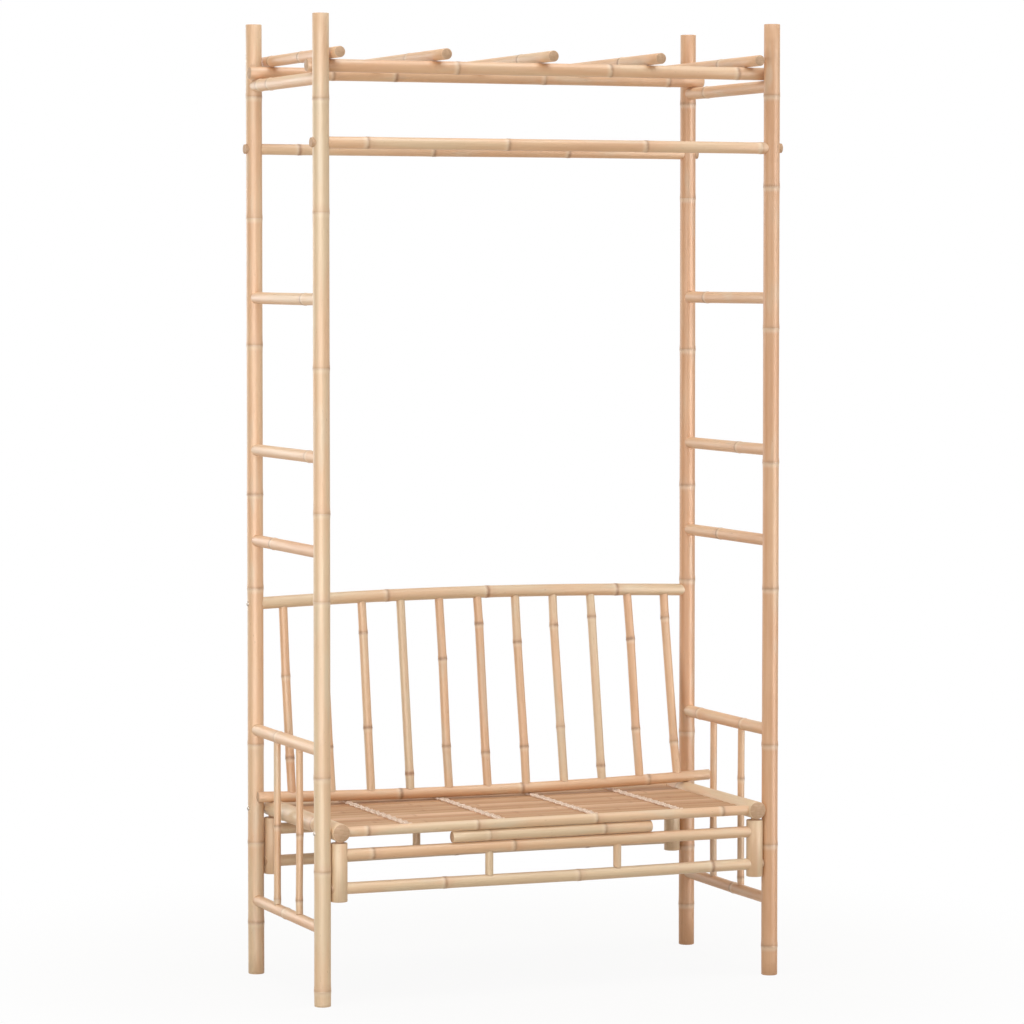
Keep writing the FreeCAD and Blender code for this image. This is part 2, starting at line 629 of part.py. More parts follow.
def back_slat(number):
    """An upright cane that leans back, and a little to the left, from the low rail to the top rail."""
    step = number - (BACK_SLATS + 1) / 2
    head_x = f"({step} * back_slat_head_spacing + back_slat_head_shift)"
    foot_x = f"({step} * back_slat_foot_spacing + back_slat_foot_shift)"
    foot_y = f"(({LOW_RAIL_LEFT_Y} + low_rail_right_y) / 2 - {foot_x} * {LOW_RAIL_SLOPE})"
    foot_rise = f"{foot_x} * {LOW_RAIL_TILT} + {LOW_RAIL_ARC} - sqrt({LOW_RAIL_ARC}^2 - {foot_x}^2)"
    foot_z = f"({LOW_RAIL_Z} + {foot_rise})"
    head_z = f"({BACK_RAIL_TOP_Z} - {BACK_RAIL_ARC} + sqrt({BACK_RAIL_ARC}^2 - {head_x}^2))"
    reach = (f"({head_x} - {foot_x})", f"({POST_Y} - {foot_y})", f"({head_z} - {foot_z})")
    length = f"sqrt({reach[0]}^2 + {reach[1]}^2 + {reach[2]}^2)"
    body = cane(f"back_slat_{number:02d}", "Z", length, "back_slat_radius")
    foot = ("0", "0", "low_rail_radius + back_slat_gap")
    head = ("0", length, "back_rail_radius + back_slat_gap")
    cut_round(body, "saddles", "X", [foot, head])
    leaning = FreeCAD.Vector(*(amount(part) for part in reach))
    body.Placement.Rotation = FreeCAD.Rotation(FreeCAD.Vector(0, 0, 1), leaning)
    place(body, foot_x, foot_y, foot_z)
    return body


def back_rest():
    return [top_back_rail(), low_back_rail()] + [back_slat(number + 1) for number in range(BACK_SLATS)]


def bolt(name, sign, depth_sign, high):
    """A bolt from a post's outer side, whose shank ends in the rail behind the post."""
    sink = "bolt_head_sink" if sign > 0 else "0"
    tip = f"bolt_head_height + {BOLT_REACH} - {sink} - joint_gap"
    corners = [
        ("0", "0"),
        ("0", "bolt_head_radius"),
        ("bolt_head_height", "bolt_head_radius"),
        ("bolt_head_height", "bolt_radius"),
        (tip, "bolt_radius"),
        (tip, "0"),
    ]
    body = turned(name, "X", corners)
    inward = FreeCAD.Vector(-sign, 0, 0)
    body.Placement.Rotation = FreeCAD.Rotation(FreeCAD.Vector(1, 0, 0), inward)
    outer = f"({POST_X} + post_radius - {sink} + bolt_head_height)"
    place(body, f"{sign} * {outer}", f"{depth_sign} * {POST_Y}", high)
    return body


def bolts():
    """All bolts: one in each post at the seat, and one in each back post at the top back rail."""
    singles = []
    for side, sign in SIDES:
        for end, depth_sign in ENDS:
            singles.append(bolt(f"seat_bolt_{end}_{side}", sign, depth_sign, "side_rail_z"))
        singles.append(bolt(f"back_bolt_{side}", sign, 1, "back_rail_end_z"))
    return grouped("bolts", singles)


def check(nodes):
    """Stop before writing if any object failed, any cut removed nothing or any node is unsound."""
    for item in doc.Objects:
        if {"Invalid", "Error"} & set(item.State):
            raise RuntimeError(f"{item.Label} failed: {item.State}")
        if item.TypeId == "PartDesign::Pocket" and item.Shape.Volume >= item.BaseFeature.Shape.Volume:
            raise RuntimeError(f"{item.Label} cut nothing")
    for node in nodes:
        if node.Shape.isNull() or not node.Shape.isValid() or not node.Shape.Solids:
            raise RuntimeError(f"{node.Label} has no sound shape")


subparts = side_frames() + roof() + bench() + back_rest() + [bolts()]
doc.recompute()
check(subparts)

os.makedirs("parts", exist_ok=True)
for node in subparts:
    node.Shape.exportStep(f"parts/{node.Label}.step")
print(len(subparts), "sub-parts written")
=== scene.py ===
"""Arbour seat of natural canes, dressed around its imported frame."""

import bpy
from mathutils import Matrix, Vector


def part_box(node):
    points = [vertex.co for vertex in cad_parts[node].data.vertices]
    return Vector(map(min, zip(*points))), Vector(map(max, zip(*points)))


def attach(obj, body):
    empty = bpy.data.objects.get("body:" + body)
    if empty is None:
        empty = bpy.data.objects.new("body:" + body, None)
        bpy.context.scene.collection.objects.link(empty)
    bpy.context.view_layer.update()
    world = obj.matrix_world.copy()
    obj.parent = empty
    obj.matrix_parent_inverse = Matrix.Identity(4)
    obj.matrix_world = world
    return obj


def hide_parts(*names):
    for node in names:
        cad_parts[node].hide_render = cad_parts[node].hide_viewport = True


bl_info = {
    "name": "Arbour Seat",
    "version": (1, 0, 0),
    "blender": (4, 5, 0),
    "location": "3D View > Sidebar > Arbour Seat",
    "description": "Grows the canes of an arbour seat over its frame, with the seat, lashings and bolts",
    "category": "Add Mesh",
}

import math
import random

import bpy
import numpy as np
from bpy.props import FloatProperty, FloatVectorProperty, IntProperty, PointerProperty
from mathutils import Matrix, Vector

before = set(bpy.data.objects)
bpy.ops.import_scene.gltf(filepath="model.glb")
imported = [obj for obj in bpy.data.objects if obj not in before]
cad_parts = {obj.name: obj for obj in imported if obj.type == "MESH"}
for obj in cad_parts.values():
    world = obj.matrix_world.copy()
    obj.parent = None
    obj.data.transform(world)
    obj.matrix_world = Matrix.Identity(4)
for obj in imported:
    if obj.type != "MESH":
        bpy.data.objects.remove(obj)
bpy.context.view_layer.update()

MM = 0.001
X, Y, Z = range(3)
SIDES = ("left", "right")
ENDS = ("front", "back")
LEVELS = ("low", "middle", "high")
ROOF_BARS = 5
SEAT_STRIPS = 12

# Places of the seat's bearers and of the cord rows on them, as shares of the width between the side rails
BEARERS = (-0.3325, -0.1112, 0.1121, 0.3208)

# Height of a growth ring over the plain cane, as (place from the scar, height) in millimetres
RING_SHAPE = (
    (-30, 0), (-14, 0.1), (-6, 0.4), (-2.4, 0.8), (-0.8, 1), (0.5, 0.6), (2, 0.7), (5, 0.6), (9, 0.25),
    (14, 0.08), (30, 0),
)

# Rings of the posts as shares of their height, with how strongly each stands out
POST_RINGS = {
    "front_left": (
        (0.016, 1), (0.137, 1.1), (0.232, 1.1), (0.410, 1),
        (0.499, 1.2), (0.645, 1), (0.801, 0.9), (0.915, 1),
    ),
    "front_right": (
        (0.031, 1), (0.1385, 1), (0.244, 1.3), (0.409, 1),
        (0.542, 1.3), (0.683, 1.2), (0.831, 1.1), (0.926, 1),
    ),
    "back_left": (
        (0.055, 1), (0.140, 1.1), (0.244, 1), (0.409, 1.2),
        (0.508, 1.1), (0.665, 1.1), (0.798, 1), (0.925, 1),
    ),
    "back_right": (
        (0.045, 1), (0.110, 1), (0.236, 1.2), (0.404, 1.2),
        (0.508, 1.1), (0.657, 1.3), (0.822, 1), (0.925, 1),
    ),
}

# Rings of the other canes, in millimetres along X, Y or Z, whichever way the cane runs
RINGS = {
    "roof_beam_front": (-214, 158, 477),
    "roof_beam_back": (-370, -215, 160, 481),
    "header_rail_front": (-442, -106, 233, 522),
    "header_rail_back": (-441, -106, 236),
    "roof_bar_1": (-10, 198),
    "roof_bar_2": (-25,),
    "roof_bar_3": (-73,),
    "roof_bar_4": (-41,),
    "roof_bar_5": (-55,),
    "roof_side_rail_left": (106, 178),
    "roof_side_rail_right": (120,),
    "rung_left_low": (92,),
    "rung_left_middle": (-150,),
    "rung_left_high": (-125,),
    "rung_right_low": (40,),
    "rung_right_middle": (-62,),
    "rung_right_high": (118,),
    "arm_rail_left": (60,),
    "arm_rail_right": (-90, 150),
    "foot_rail_left": (16,),
    "foot_rail_right": (-40,),
    "spindle_left_front": (215, 364),
    "spindle_left_back": (196, 365),
    "spindle_right_front": (206, 440),
    "spindle_right_back": (300,),
    "seat_side_rail_left": (-95, 140),
    "seat_side_rail_right": (170,),
    "seat_rail_front": (-443, -180, 112, 428),
    "seat_rail_back": (-349, -40, 289),
    "upper_rail_front": (-431, -91),
    "upper_rail_back": (-290, 30, 352),
    "lower_rail_front": (-260, 67, 401),
    "lower_rail_back": (-380, -52, 286),
    "wedged_pole": (-151, 132),
    "back_rail_top": (-226, 27, 361),
    "back_rail_low": (-405, -209, 93, 414),
}

# Canes that lie against others along their length, where a ring may hardly stand out
TIGHT_CANES = ("seat_rail_front", "seat_rail_back", "upper_rail_front", "wedged_pole")
TIGHT_RING = 0.22

# Rings of the back canes from left to right, as shares of their length from below, and each cane's tone
BACK_CANE_RINGS = (
    (0.20, 0.62), (0.25, 0.70), (0.34, 0.82), (0.10,), (0.23, 0.67), (0.19, 0.84), (0.21, 0.74),
    (0.30, 0.82), (0.09, 0.86), (0.27, 0.74), (0.19, 0.85),
)
BACK_CANE_TONES = (0.55, 0.50, 0.30, -0.20, 0.38, 0.55, 0.15, 0.22, -0.10, 0.58, 0.45)

# Tones of the posts and of the top back rail: 0 is straw yellow and 1 is brown. The two right posts' browner
# tones are partly their own colour and partly painted shade, which darkens them all round
POST_TONES_AND_SHADE = {"front_left": 0.05, "front_right": 0.85, "back_left": 0.34, "back_right": 0.95}
TOP_RAIL_TONE = 0.12

# Tone of a group's other canes, and how far a single cane strays from it
USUAL_TONES = {"side": (0.48, 0.16), "roof": (0.50, 0.14), "bench": (0.10, 0.16), "back": (0.50, 0.10)}

# How far the joints of a cane stray from its tone, and how dark its rings are
JOINT_STRAYS = {"post": 0.12, "side": 0.10, "roof": 0.12, "bench": 0.16, "back": 0.12}
RING_MARKS = {"post": 0.60, "side": 0.75, "roof": 0.90, "bench": 0.90, "back": 1.0}

# Shortest stretch between two sections of a cane, how far from a ring its marks reach, corners of a cutting
# bar, the sharpest edge that is smoothed, and how near a face is to a sawn end, or two numbers to each other
SHORTEST_STEP = 0.0002
MARK_REACH = 0.03
BAR_SIDES = 48
SMOOTH_ANGLE = math.radians(48)
END_ZONE = 1e-5
NEAR = 1e-6

# How far the bars that cut hollows and bores reach to each side of their place
REACH = 0.05
ALONG_X = Vector((REACH, 0, 0))
ALONG_Y = Vector((0, REACH, 0))
ALONG_Z = Vector((0, 0, REACH))

# Tenons: their radii, how far they start inside the cane, and the height of the legs' shoulders
RAIL_TENON = 0.011
RAIL_TENON_ROOT = 0.03
LEG_TENON = 0.008
LEG_TENON_ROOT = 0.02
LEG_SHOULDER = 0.363

# Bends of the bench's long rails: how far a joint strays aside and up, and the rise of the middle
RAIL_BENDS = {
    "seat_rail_front": ((0.0002, 0.0), 0.0),
    "seat_rail_back": ((0.0002, 0.0), 0.0),
    "upper_rail_front": ((0.0008, 0.0), 0.0),
    "upper_rail_back": ((0.0010, 0.0010), -0.0010),
    "lower_rail_front": ((0.0010, 0.0010), -0.0012),
    "lower_rail_back": ((0.0010, 0.0010), 0.0010),
}
SPACER_RADIUS = 0.0092

# Seat strips: longest section, place of the sections next to the ends, rounding of the edges, cuts across
# the crown, share of a ring's swell, spread of the rings and their strength, room after the last, and (tone,
# stray of a strip, stray of a joint)
STRIP_STEP = 0.08
STRIP_RIM = 0.0006
STRIP_CORNER = 0.0008
STRIP_CUTS = 7
STRIP_SWELL = 0.6
STRIP_FIRST_RING = (0.06, 0.30)
STRIP_JOINT = (0.27, 0.36)
STRIP_RING_STRENGTH = (0.7, 1.1)
STRIP_END = 0.03
STRIP_TONES = (0.5, 0.32, 0.12)

# Seat bearers: what the hollows take off each end, and rings as (first place, step to the next bearer)
BEARER_SPARE = 0.004
BEARER_RINGS = ((0.09, 0.06), (0.36, 0.02))

# How far each strand of the lashing swings aside, how much that varies, and how flat the lashing is pulled
LASHING_SWINGS = (0.0145, -0.0100)
LASHING_STRAY = (0.85, 1.1)
LASHING_FLATNESS = 0.8

# Back rest: radii, and the room between a back cane and the rail that it grips
TOP_RAIL_RADIUS = 0.0142
LOW_RAIL_RADIUS = 0.0125
SLAT_RADIUS = 0.010
SADDLE_GAP = 0.0007

# The low rail: its slant across the bench, how far its middle sags, and how deep it is let in on the left
LOW_RAIL_SLOPE = 0.0446
LOW_RAIL_SAG = 0.0085
LOW_RAIL_SADDLE = 0.005

# Bolts: radius of shank and head, height of the head, how deep it is let in on the right, how far the tip
# lies from the post's axis, room at the tip and round the head, and the turn from one bolt to the next
BOLT_SHANK = 0.0035
BOLT_HEAD = 0.0055
BOLT_HEAD_HEIGHT = 0.0025
BOLT_SINK = 0.0035
BOLT_TIP = 0.0388
BOLT_TIP_ROOM = 0.0005
BOLT_HEAD_ROOM = 0.0002
BOLT_TURN = 0.7

# Section of a bolt as (depth below its crown, radius), then its tip as (distance from the end, radius)
BOLT_PROFILE = ((0.0000, 0.0018), (0.0003, 0.0034), (0.0009, 0.0046), (0.0016, 0.0053), (0.0021, 0.0055),
                (0.0025, 0.0055), (0.0025, 0.0034))
BOLT_POINT = ((0.001, 0.0034), (0.0, 0.0026))
BOLT_SOCKET = {"vertices": 6, "radius": 0.0021, "depth": 0.0028}

# Stains of the cane skin: blush, bloom and specks, as (scale, noise from and to, amount, colour)
CANE_STAINS = (
    ((48, 48, 7), 0.50, 0.70, 0.34, (0.74, 0.47, 0.30)),
    ((30, 30, 6), 0.54, 0.72, 0.34, (0.66, 0.60, 0.46)),
    ((420, 420, 75), 0.71, 0.76, 0.45, (0.34, 0.19, 0.10)),
)

# Lamps, and panels that only glossy surfaces see: (name, place, target, size, which setting gives the power,
# share of it, spread in degrees)
LAMPS = (
    ("left_lamp", (-2.35, -1.9, 1.2), (-0.4, 0, 1.1), (0.9, 2.8), "left", 1.0, 180),
    ("right_lamp", (2.1, -1.5, 1.2), (0.5, 0, 1.1), (0.9, 2.8), "right", 1.0, 180),
    ("top_lamp", (0.0, -1.6, 9.0), (0, 0, 1.0), (6.0, 4.2), "top", 1.0, 180),
    ("back_lamp", (-2.4, 4.6, 2.4), (0, 0, 1.1), (2.4, 2.4), "back", 1.0, 180),
    ("left_sheen", (-1.5, -1.2, 1.0), (-1.19, -0.25, 1.0), (1.8, 3.2), "sheen", 0.7, 90),
    ("right_sheen", (1.3, -0.9, 1.0), (1.04, 0.07, 1.0), (0.9, 3.2), "sheen", 0.5, 90),
    ("top_sheen", (0.0, -2.6, 9.0), (0, 0, 1.0), (6.0, 2.8), "sheen", 14, 180),
    ("back_sheen", (-2.4, 3.6, 1.6), (0, 0, 1.1), (0.9, 2.8), "sheen", 1.0, 180),
)
WHITE = (1.0, 1.0, 1.0, 1.0)
SKY_COLOUR = (1.0, 0.94, 0.86, 1.0)

# The floor: its radius, and how far its white fades in round the seat
FLOOR_RADIUS = 30
FLOOR_FADE = (0.6, 1.8, 0.93, 1.0)

CAMERA_PLACE = (-3.547, -8.723, 1.634)
CAMERA_TURN = (math.radians(87.3), 0.0, math.radians(-22.119))
SENSOR_WIDTH = 36.0
LENS_SHIFT = -0.048
VIEW_END = 200.0


def size_property(name, description, default, low=0.0):
    return FloatProperty(name=name, description=description, default=default, min=low, subtype="DISTANCE",
                         unit="LENGTH")


def colour_property(name, description, default):
    return FloatVectorProperty(name=name, description=description, default=default, size=3, min=0, max=1,
                               subtype="COLOR")


def power_property(name, description, default):
    return FloatProperty(name=name, description=description, default=default, min=0, subtype="POWER",
                         unit="POWER")


class ARBOUR_PG_canes(bpy.types.PropertyGroup):
    """Sizes shared by all the round canes."""

    sides: IntProperty(name="Sides", description="Corners of a cane's section", default=32, min=12, max=64)
    step: size_property("Step", "Longest stretch between two sections of a cane", 0.07, 0.02)
    rim: size_property("Rim", "Rounding of a sawn end", 0.0009, 0.0002)
    fit: size_property("Fit", "Room left between a hollowed end and the cane that it grips", 0.0003)
    post_ring: size_property("Post ring", "Rise of a growth ring in the posts of the frame", 0.0018)
    seed: IntProperty(name="Seed", description="Start of the random strays of all canes", default=11)


class ARBOUR_PG_colours(bpy.types.PropertyGroup):
    """Colours of the canes, cord and steel."""

    green: colour_property("Straw", "Palest cane, a little green", (0.73, 0.565, 0.375))
    pale: colour_property("Pale cane", "Most of the canes", (0.75, 0.49, 0.295))
    tan: colour_property("Tan cane", "Brownest cane", (0.66, 0.375, 0.205))
    scar: colour_property("Scar", "Line round a growth ring", (0.35, 0.20, 0.11))
    sawn: colour_property("Sawn end", "End grain of a cane", (0.58, 0.38, 0.24))
    seat: colour_property("Seat", "Split canes of the seat", (0.50, 0.295, 0.158))
    seat_dark: colour_property("Seat streaks", "Streaks of the split canes", (0.36, 0.182, 0.088))
    cord: colour_property("Cord", "Lashing cord", (0.93, 0.79, 0.67))
    steel: colour_property("Steel", "Zinc on the bolts", (0.30, 0.25, 0.20))


class ARBOUR_PG_seat(bpy.types.PropertyGroup):
    """Sizes of the seat strips and their lashing."""

    gap: size_property("Gap", "Between two seat strips", 0.0007, 0.0002)
    edge: size_property("Edge", "Thickness of a strip at its edges", 0.0036, 0.001)
    strand: size_property("Strand", "Radius of one strand of the lashing cord", 0.0016, 0.0005)


class ARBOUR_PG_stage(bpy.types.PropertyGroup):
    """Light, floor and camera."""

    left: power_property("Left light", "Power of the tall lamp at the front left", 26.0)
    right: power_property("Right light", "Power of the tall lamp at the right", 11.0)
    top: power_property("Top light", "Power of the lamp over the roof", 335.0)
    back: power_property("Back light", "Power of the lamp behind the seat", 30.0)
    sheen: power_property("Sheen", "Power of the panels that only glossy surfaces see", 62.0)
    sky: FloatProperty(name="Sky", description="Strength of the light from all round", default=0.55, min=0)
    floor: colour_property("Floor", "Colour of the floor", (0.56, 0.53, 0.49))
    lens: FloatProperty(name="Lens", description="Focal length of the camera", default=143.26, min=10,
                        subtype="DISTANCE_CAMERA")


# Small tools


def set_mode(mode):
    bpy.ops.object.mode_set(mode=mode)


def clear_selection():
    if bpy.context.mode != "OBJECT":
        set_mode("OBJECT")
    bpy.ops.object.select_all(action="DESELECT")


def make_active(piece):
    clear_selection()
    piece.select_set(True)
    bpy.context.view_layer.objects.active = piece


def add_primitive(operator, name, **settings):
    """Add one of Blender's primitives with nothing else selected."""
    clear_selection()
    operator(**settings)
    piece = bpy.context.object
    piece.name = name
    piece.data.name = name
    return piece


def combine(piece, other, operation):
    """Cut another mesh out of a piece, or weld it to the piece, and remove it."""
    make_active(piece)
    modifier = piece.modifiers.new("joint", "BOOLEAN")
    modifier.operation = operation
    modifier.solver = "EXACT"
    modifier.object = other
    bpy.ops.object.modifier_apply(modifier=modifier.name)
    bpy.data.objects.remove(other, do_unlink=True)


def finish_piece(piece, node):
    """Bring a piece's place into its mesh, smooth it and enter it in the frame."""
    make_active(piece)
    bpy.ops.object.transform_apply(location=True, rotation=True, scale=True)
    bpy.ops.object.shade_smooth_by_angle(angle=SMOOTH_ANGLE)
    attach(piece, "root")
    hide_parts(node)


def seeded(name):
    """A run of random numbers that depends on the seed and the name only."""
    return random.Random(f"{bpy.context.scene.arbour_canes.seed} {name}")


def middle(node):
    low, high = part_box(node)
    return (low + high) / 2


def cross_radius(node):
    """Radius of a straight cane, from the smallest side of its box."""
    low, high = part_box(node)
    return min(high - low) / 2


def half_height(node):
    """Radius of a cane that lies level, from the height of its box."""
    low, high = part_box(node)
    return (high.z - low.z) / 2


def box_line(node, axis):
    """The line through the middle of a node's box, from end to end along one axis."""
    low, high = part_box(node)
    start = (low + high) / 2
    stop = start.copy()
    start[axis] = low[axis]
    stop[axis] = high[axis]
    return start, stop


def at_height(spot, height):
    return Vector((spot.x, spot.y, height))


def cane_frame(start, end):
    """Turn and move a cane that grew along Z so that it runs from start to end."""
    mostly = 0.7
    along = (end - start).normalized()
    if abs(along.x) > mostly:
        aside = Vector((0, 1, 0))
    elif abs(along.y) > mostly:
        aside = Vector((0, 0, 1))
    else:
        aside = Vector((1, 0, 0))
    up = along.cross(aside).normalized()
    aside = up.cross(along)
    turn = Matrix((aside, up, along)).transposed()
    return Matrix.Translation(start) @ turn.to_4x4()


# Growing a cane


def ring_swell(station, rings):
    """Rise of the skin at a place along the cane, and the rings are (place, strength)."""
    offsets, heights = zip(*RING_SHAPE)
    offsets = [offset * MM for offset in offsets]
    heights = [height * MM for height in heights]
    return sum(strength * float(np.interp(station - place, offsets, heights)) for place, strength in rings)


def cane_stations(length, rings, step, rim):
    """Places where the cane gets a section: its ends, all parts of its rings and between them."""
    wanted = [rim, length - rim]
    for place, strength in rings:
        wanted += [place + offset * MM for offset, height in RING_SHAPE]
    stations = [0.0]
    for station in sorted(wanted):
        if not rim <= station <= length - rim:
            continue
        last = stations[-1]
        if station - last > step:
            parts = math.ceil((station - last) / step)
            stations += [last + (station - last) * part / parts for part in range(1, parts)]
        if station - stations[-1] > SHORTEST_STEP:
            stations.append(station)
    return stations + [length]


def draw_out(sections, across=True):
    """Extrude a flat start from section to section, (spot, girth), all round or only in thickness."""
    set_mode("EDIT")
    bpy.ops.mesh.select_all(action="SELECT")
    for (last, last_girth), (spot, girth) in zip(sections, sections[1:]):
        bpy.ops.mesh.extrude_region_move(TRANSFORM_OT_translate={"value": spot - last})
        scale = girth / last_girth
        if abs(scale - 1) > NEAR:
            bpy.ops.transform.resize(value=(scale if across else 1, scale, 1), center_override=spot)
    bpy.ops.mesh.select_all(action="SELECT")
    bpy.ops.mesh.normals_make_consistent(inside=False)
    set_mode("OBJECT")


def grow(name, length, radius, rings, kink, rise, taper, chance):
    """Grow a cane up Z from the world's origin, section by section, with a slight bend at each ring."""
    canes = bpy.context.scene.arbour_canes
    rim = canes.rim
    knees = [0.0] + [place for place, strength in rings] + [length]
    strays = [(0.0, 0.0)] + [(chance.uniform(-kink[0], kink[0]), chance.uniform(-kink[1], kink[1]))
                             for ring in rings] + [(0.0, 0.0)]

    def spot(station):
        arch = 1 - (2 * station / length - 1) ** 2
        aside, up = (float(np.interp(station, knees, way)) for way in zip(*strays))
        return Vector((aside, up + rise * arch, station))

    def girth(station):
        inset = rim if station < rim / 2 or station > length - rim / 2 else 0.0
        return radius + ring_swell(station, rings) - inset + taper * (0.5 - station / length)

    sections = [(spot(station), girth(station)) for station in cane_stations(length, rings, canes.step, rim)]
    piece = add_primitive(bpy.ops.mesh.primitive_circle_add, name, vertices=canes.sides, radius=girth(0.0),
                          fill_type="NGON")
    draw_out(sections)
    return piece


def note_growth(piece, length, rings, tones, chance, mark=1.0):
    """Note each point's distance from its ring, its side of it, its tone, its grain and its ring's mark.

    The tones are the usual one, how far a whole cane strays from it, and how far a joint strays.
    """
    mesh = piece.data
    spots = np.empty(len(mesh.vertices) * 3)
    mesh.vertices.foreach_get("co", spots)
    spots = spots.reshape(-1, 3)
    along = spots[:, Z]
    tone, cane_stray, joint_stray = tones
    cane_tone = tone + chance.uniform(-cane_stray, cane_stray)
    places = [place for place, strength in rings]
    joint_tones = [cane_tone + chance.uniform(-joint_stray, joint_stray) for joint in range(len(rings) + 1)]
    growth = np.empty_like(spots)
    nearest = np.zeros(len(along), dtype=int)
    if places:
        gaps = along[:, None] - np.array(places)[None, :]
        nearest = np.abs(gaps).argmin(axis=1)
        gap = gaps[np.arange(len(along)), nearest]
        growth[:, 0] = np.minimum(np.abs(gap), MARK_REACH)
        growth[:, 1] = np.where(gap < 0, -1.0, 1.0)
        growth[:, 2] = np.array(joint_tones)[np.searchsorted(places, along)]
    else:
        growth[:] = (MARK_REACH, 1.0, cane_tone)
    grain = spots + np.array([chance.uniform(-1, 1), chance.uniform(-1, 1), chance.uniform(-3, 3)])
    marks = np.array([mark * chance.uniform(0.55, 1.0) for place in places] or [mark])[nearest]
    for name, kind, channel, values in (
        ("growth", "FLOAT_VECTOR", "vector", growth),
        ("grain", "FLOAT_VECTOR", "vector", grain),
        ("mark", "FLOAT", "value", marks),
    ):
        attribute = mesh.attributes.new(name, kind, "POINT")
        attribute.data.foreach_set(channel, values.astype(np.float32).ravel())


def saw_ends(piece, length):
    """Give the flat faces at both ends of a cane the end grain."""
    for face in piece.data.polygons:
        from_end = min(face.center.z, length - face.center.z)
        if from_end < END_ZONE and abs(face.normal.z) > 0.99:
            face.material_index = 1


def grip(radius):
    """Radius of the cut that fits round a cane."""
    return radius + bpy.context.scene.arbour_canes.fit


def around(spot, way, radius):
    """A bar through a spot, as far to one side as to the other."""
    return spot - way, spot + way, radius


def round_bar(start, end, radius):
    """A round bar between two points, to cut or to weld."""
    length = (end - start).length
    bar = add_primitive(bpy.ops.mesh.primitive_cylinder_add, "bar", vertices=BAR_SIDES, radius=radius,
                        depth=length)
    bar.matrix_world = cane_frame(start, end) @ Matrix.Translation((0, 0, length / 2))
    return bar


def cane(node, start, end, radius, group, rings=None, strength=1.0, cuts=(), tenons=(), bores=(),
         kink=(0.0008, 0.0008), rise=0.0, slot="pale_cane", tone=None, name=None, taper=0.0):
    """Grow, place, hollow and finish one cane. Cuts, tenons and bores are (start, end, radius) bars."""
    chance = seeded(name or node)
    length = (end - start).length
    if rings is None:
        axis = max((X, Y, Z), key=lambda way: abs(end[way] - start[way]))
        rings = [(place * MM - start[axis], strength) for place in RINGS[node]]
    piece = grow(name or f"{node}_cane", length, radius, rings, kink, rise, taper, chance)
    for material in ("cane_skin", "sawn_end"):
        piece.data.materials.append(bpy.data.materials[material])
    saw_ends(piece, length)
    piece.matrix_world = cane_frame(start, end)
    for bar in cuts:
        combine(piece, round_bar(*bar), "DIFFERENCE")
    for bar in tenons:
        tenon = round_bar(*bar)
        for material in piece.data.materials:
            tenon.data.materials.append(material)
        for face in tenon.data.polygons:
            face.material_index = 1
        combine(piece, tenon, "UNION")
    for bar in bores:
        combine(piece, round_bar(*bar), "DIFFERENCE")
    usual, stray = USUAL_TONES[group] if tone is None else (tone, 0.0)
    note_growth(piece, length, rings, (usual, stray, JOINT_STRAYS[group]), chance, RING_MARKS[group])
    finish_piece(piece, node)


def straight_cane(node, axis, group, **details):
    """Grow a cane whose ends and radius come from its box alone."""
    cane(node, *box_line(node, axis), cross_radius(node), group, **details)


def level_line(uprights, height):
    """The line from one upright's axis to another's at a height."""
    return [at_height(upright, height) for upright in uprights]


def level_cane(node, uprights, radius, group, gauge=half_height, cuts=(), tenoned=False, **details):
    """Grow a level cane between two uprights, hollowed to fit their radius unless it has other cuts."""
    line = level_line(uprights, middle(node).z)
    cuts = cuts or [around(spot, ALONG_Z, grip(radius)) for spot in line]
    tenons = end_tenons(node, *line) if tenoned else ()
    cane(node, *line, gauge(node), group, cuts=cuts, tenons=tenons, **details)


def end_tenons(node, start, stop):
    """Tenons at both ends of a long rail, from inside it to the tips that its box gives."""
    low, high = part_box(node)
    tenons = []
    for end, tip_x in ((start, low.x), (stop, high.x)):
        tip = Vector((tip_x, end.y, end.z))
        tenons.append((end + (end - tip).normalized() * RAIL_TENON_ROOT, tip, RAIL_TENON))
    return tenons


def upright_ends(place, rails, way, gauge):
    """Ends of an upright cane on the axes of two rails, and the cuts that fit them round the rails."""
    ends = [at_height(place, middle(rail).z) for rail in rails]
    return ends, [around(end, way, grip(gauge(rail))) for end, rail in zip(ends, rails)]


def post_axis(end, side):
    """A post's axis, from the middle of its box, at ground level."""
    return at_height(middle(f"post_{end}_{side}"), 0.0)


def post_radius():
    return cross_radius("post_front_left") - bpy.context.scene.arbour_canes.post_ring


def bearer_places():
    """Places along X of the seat's bearers."""
    width = middle("seat_side_rail_right").x - middle("seat_side_rail_left").x
    return [share * width for share in BEARERS]


def back_bolt_z():
    """Height of the bolts in the top back rail, from the two bolt heads that are highest."""
    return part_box("bolts")[1].z - BOLT_HEAD


def bolt_spots(end, side):
    """Where bolts cross a post's axis: at the bench's side rail and, at the back, at the top back rail."""
    heights = [middle(f"seat_side_rail_{side}").z]
    if end == "back":
        heights.append(back_bolt_z())
    return [at_height(post_axis(end, side), height) for height in heights]


def outward(side):
    return Vector((1.0 if side == "right" else -1.0, 0, 0))


def bolt_bore(side, spot):
    """The hole for a bolt's shank, from outside the post to just past the bolt's tip."""
    way = outward(side)
    return spot + way * REACH, spot - way * (BOLT_TIP + BOLT_TIP_ROOM), grip(BOLT_SHANK)


def head_recess(spot):
    """The recess in a right post, which takes a bolt's head."""
    floor = spot + outward("right") * (post_radius() - BOLT_SINK - BOLT_HEAD_ROOM)
    return floor, floor + ALONG_X, BOLT_HEAD + BOLT_HEAD_ROOM


# Materials


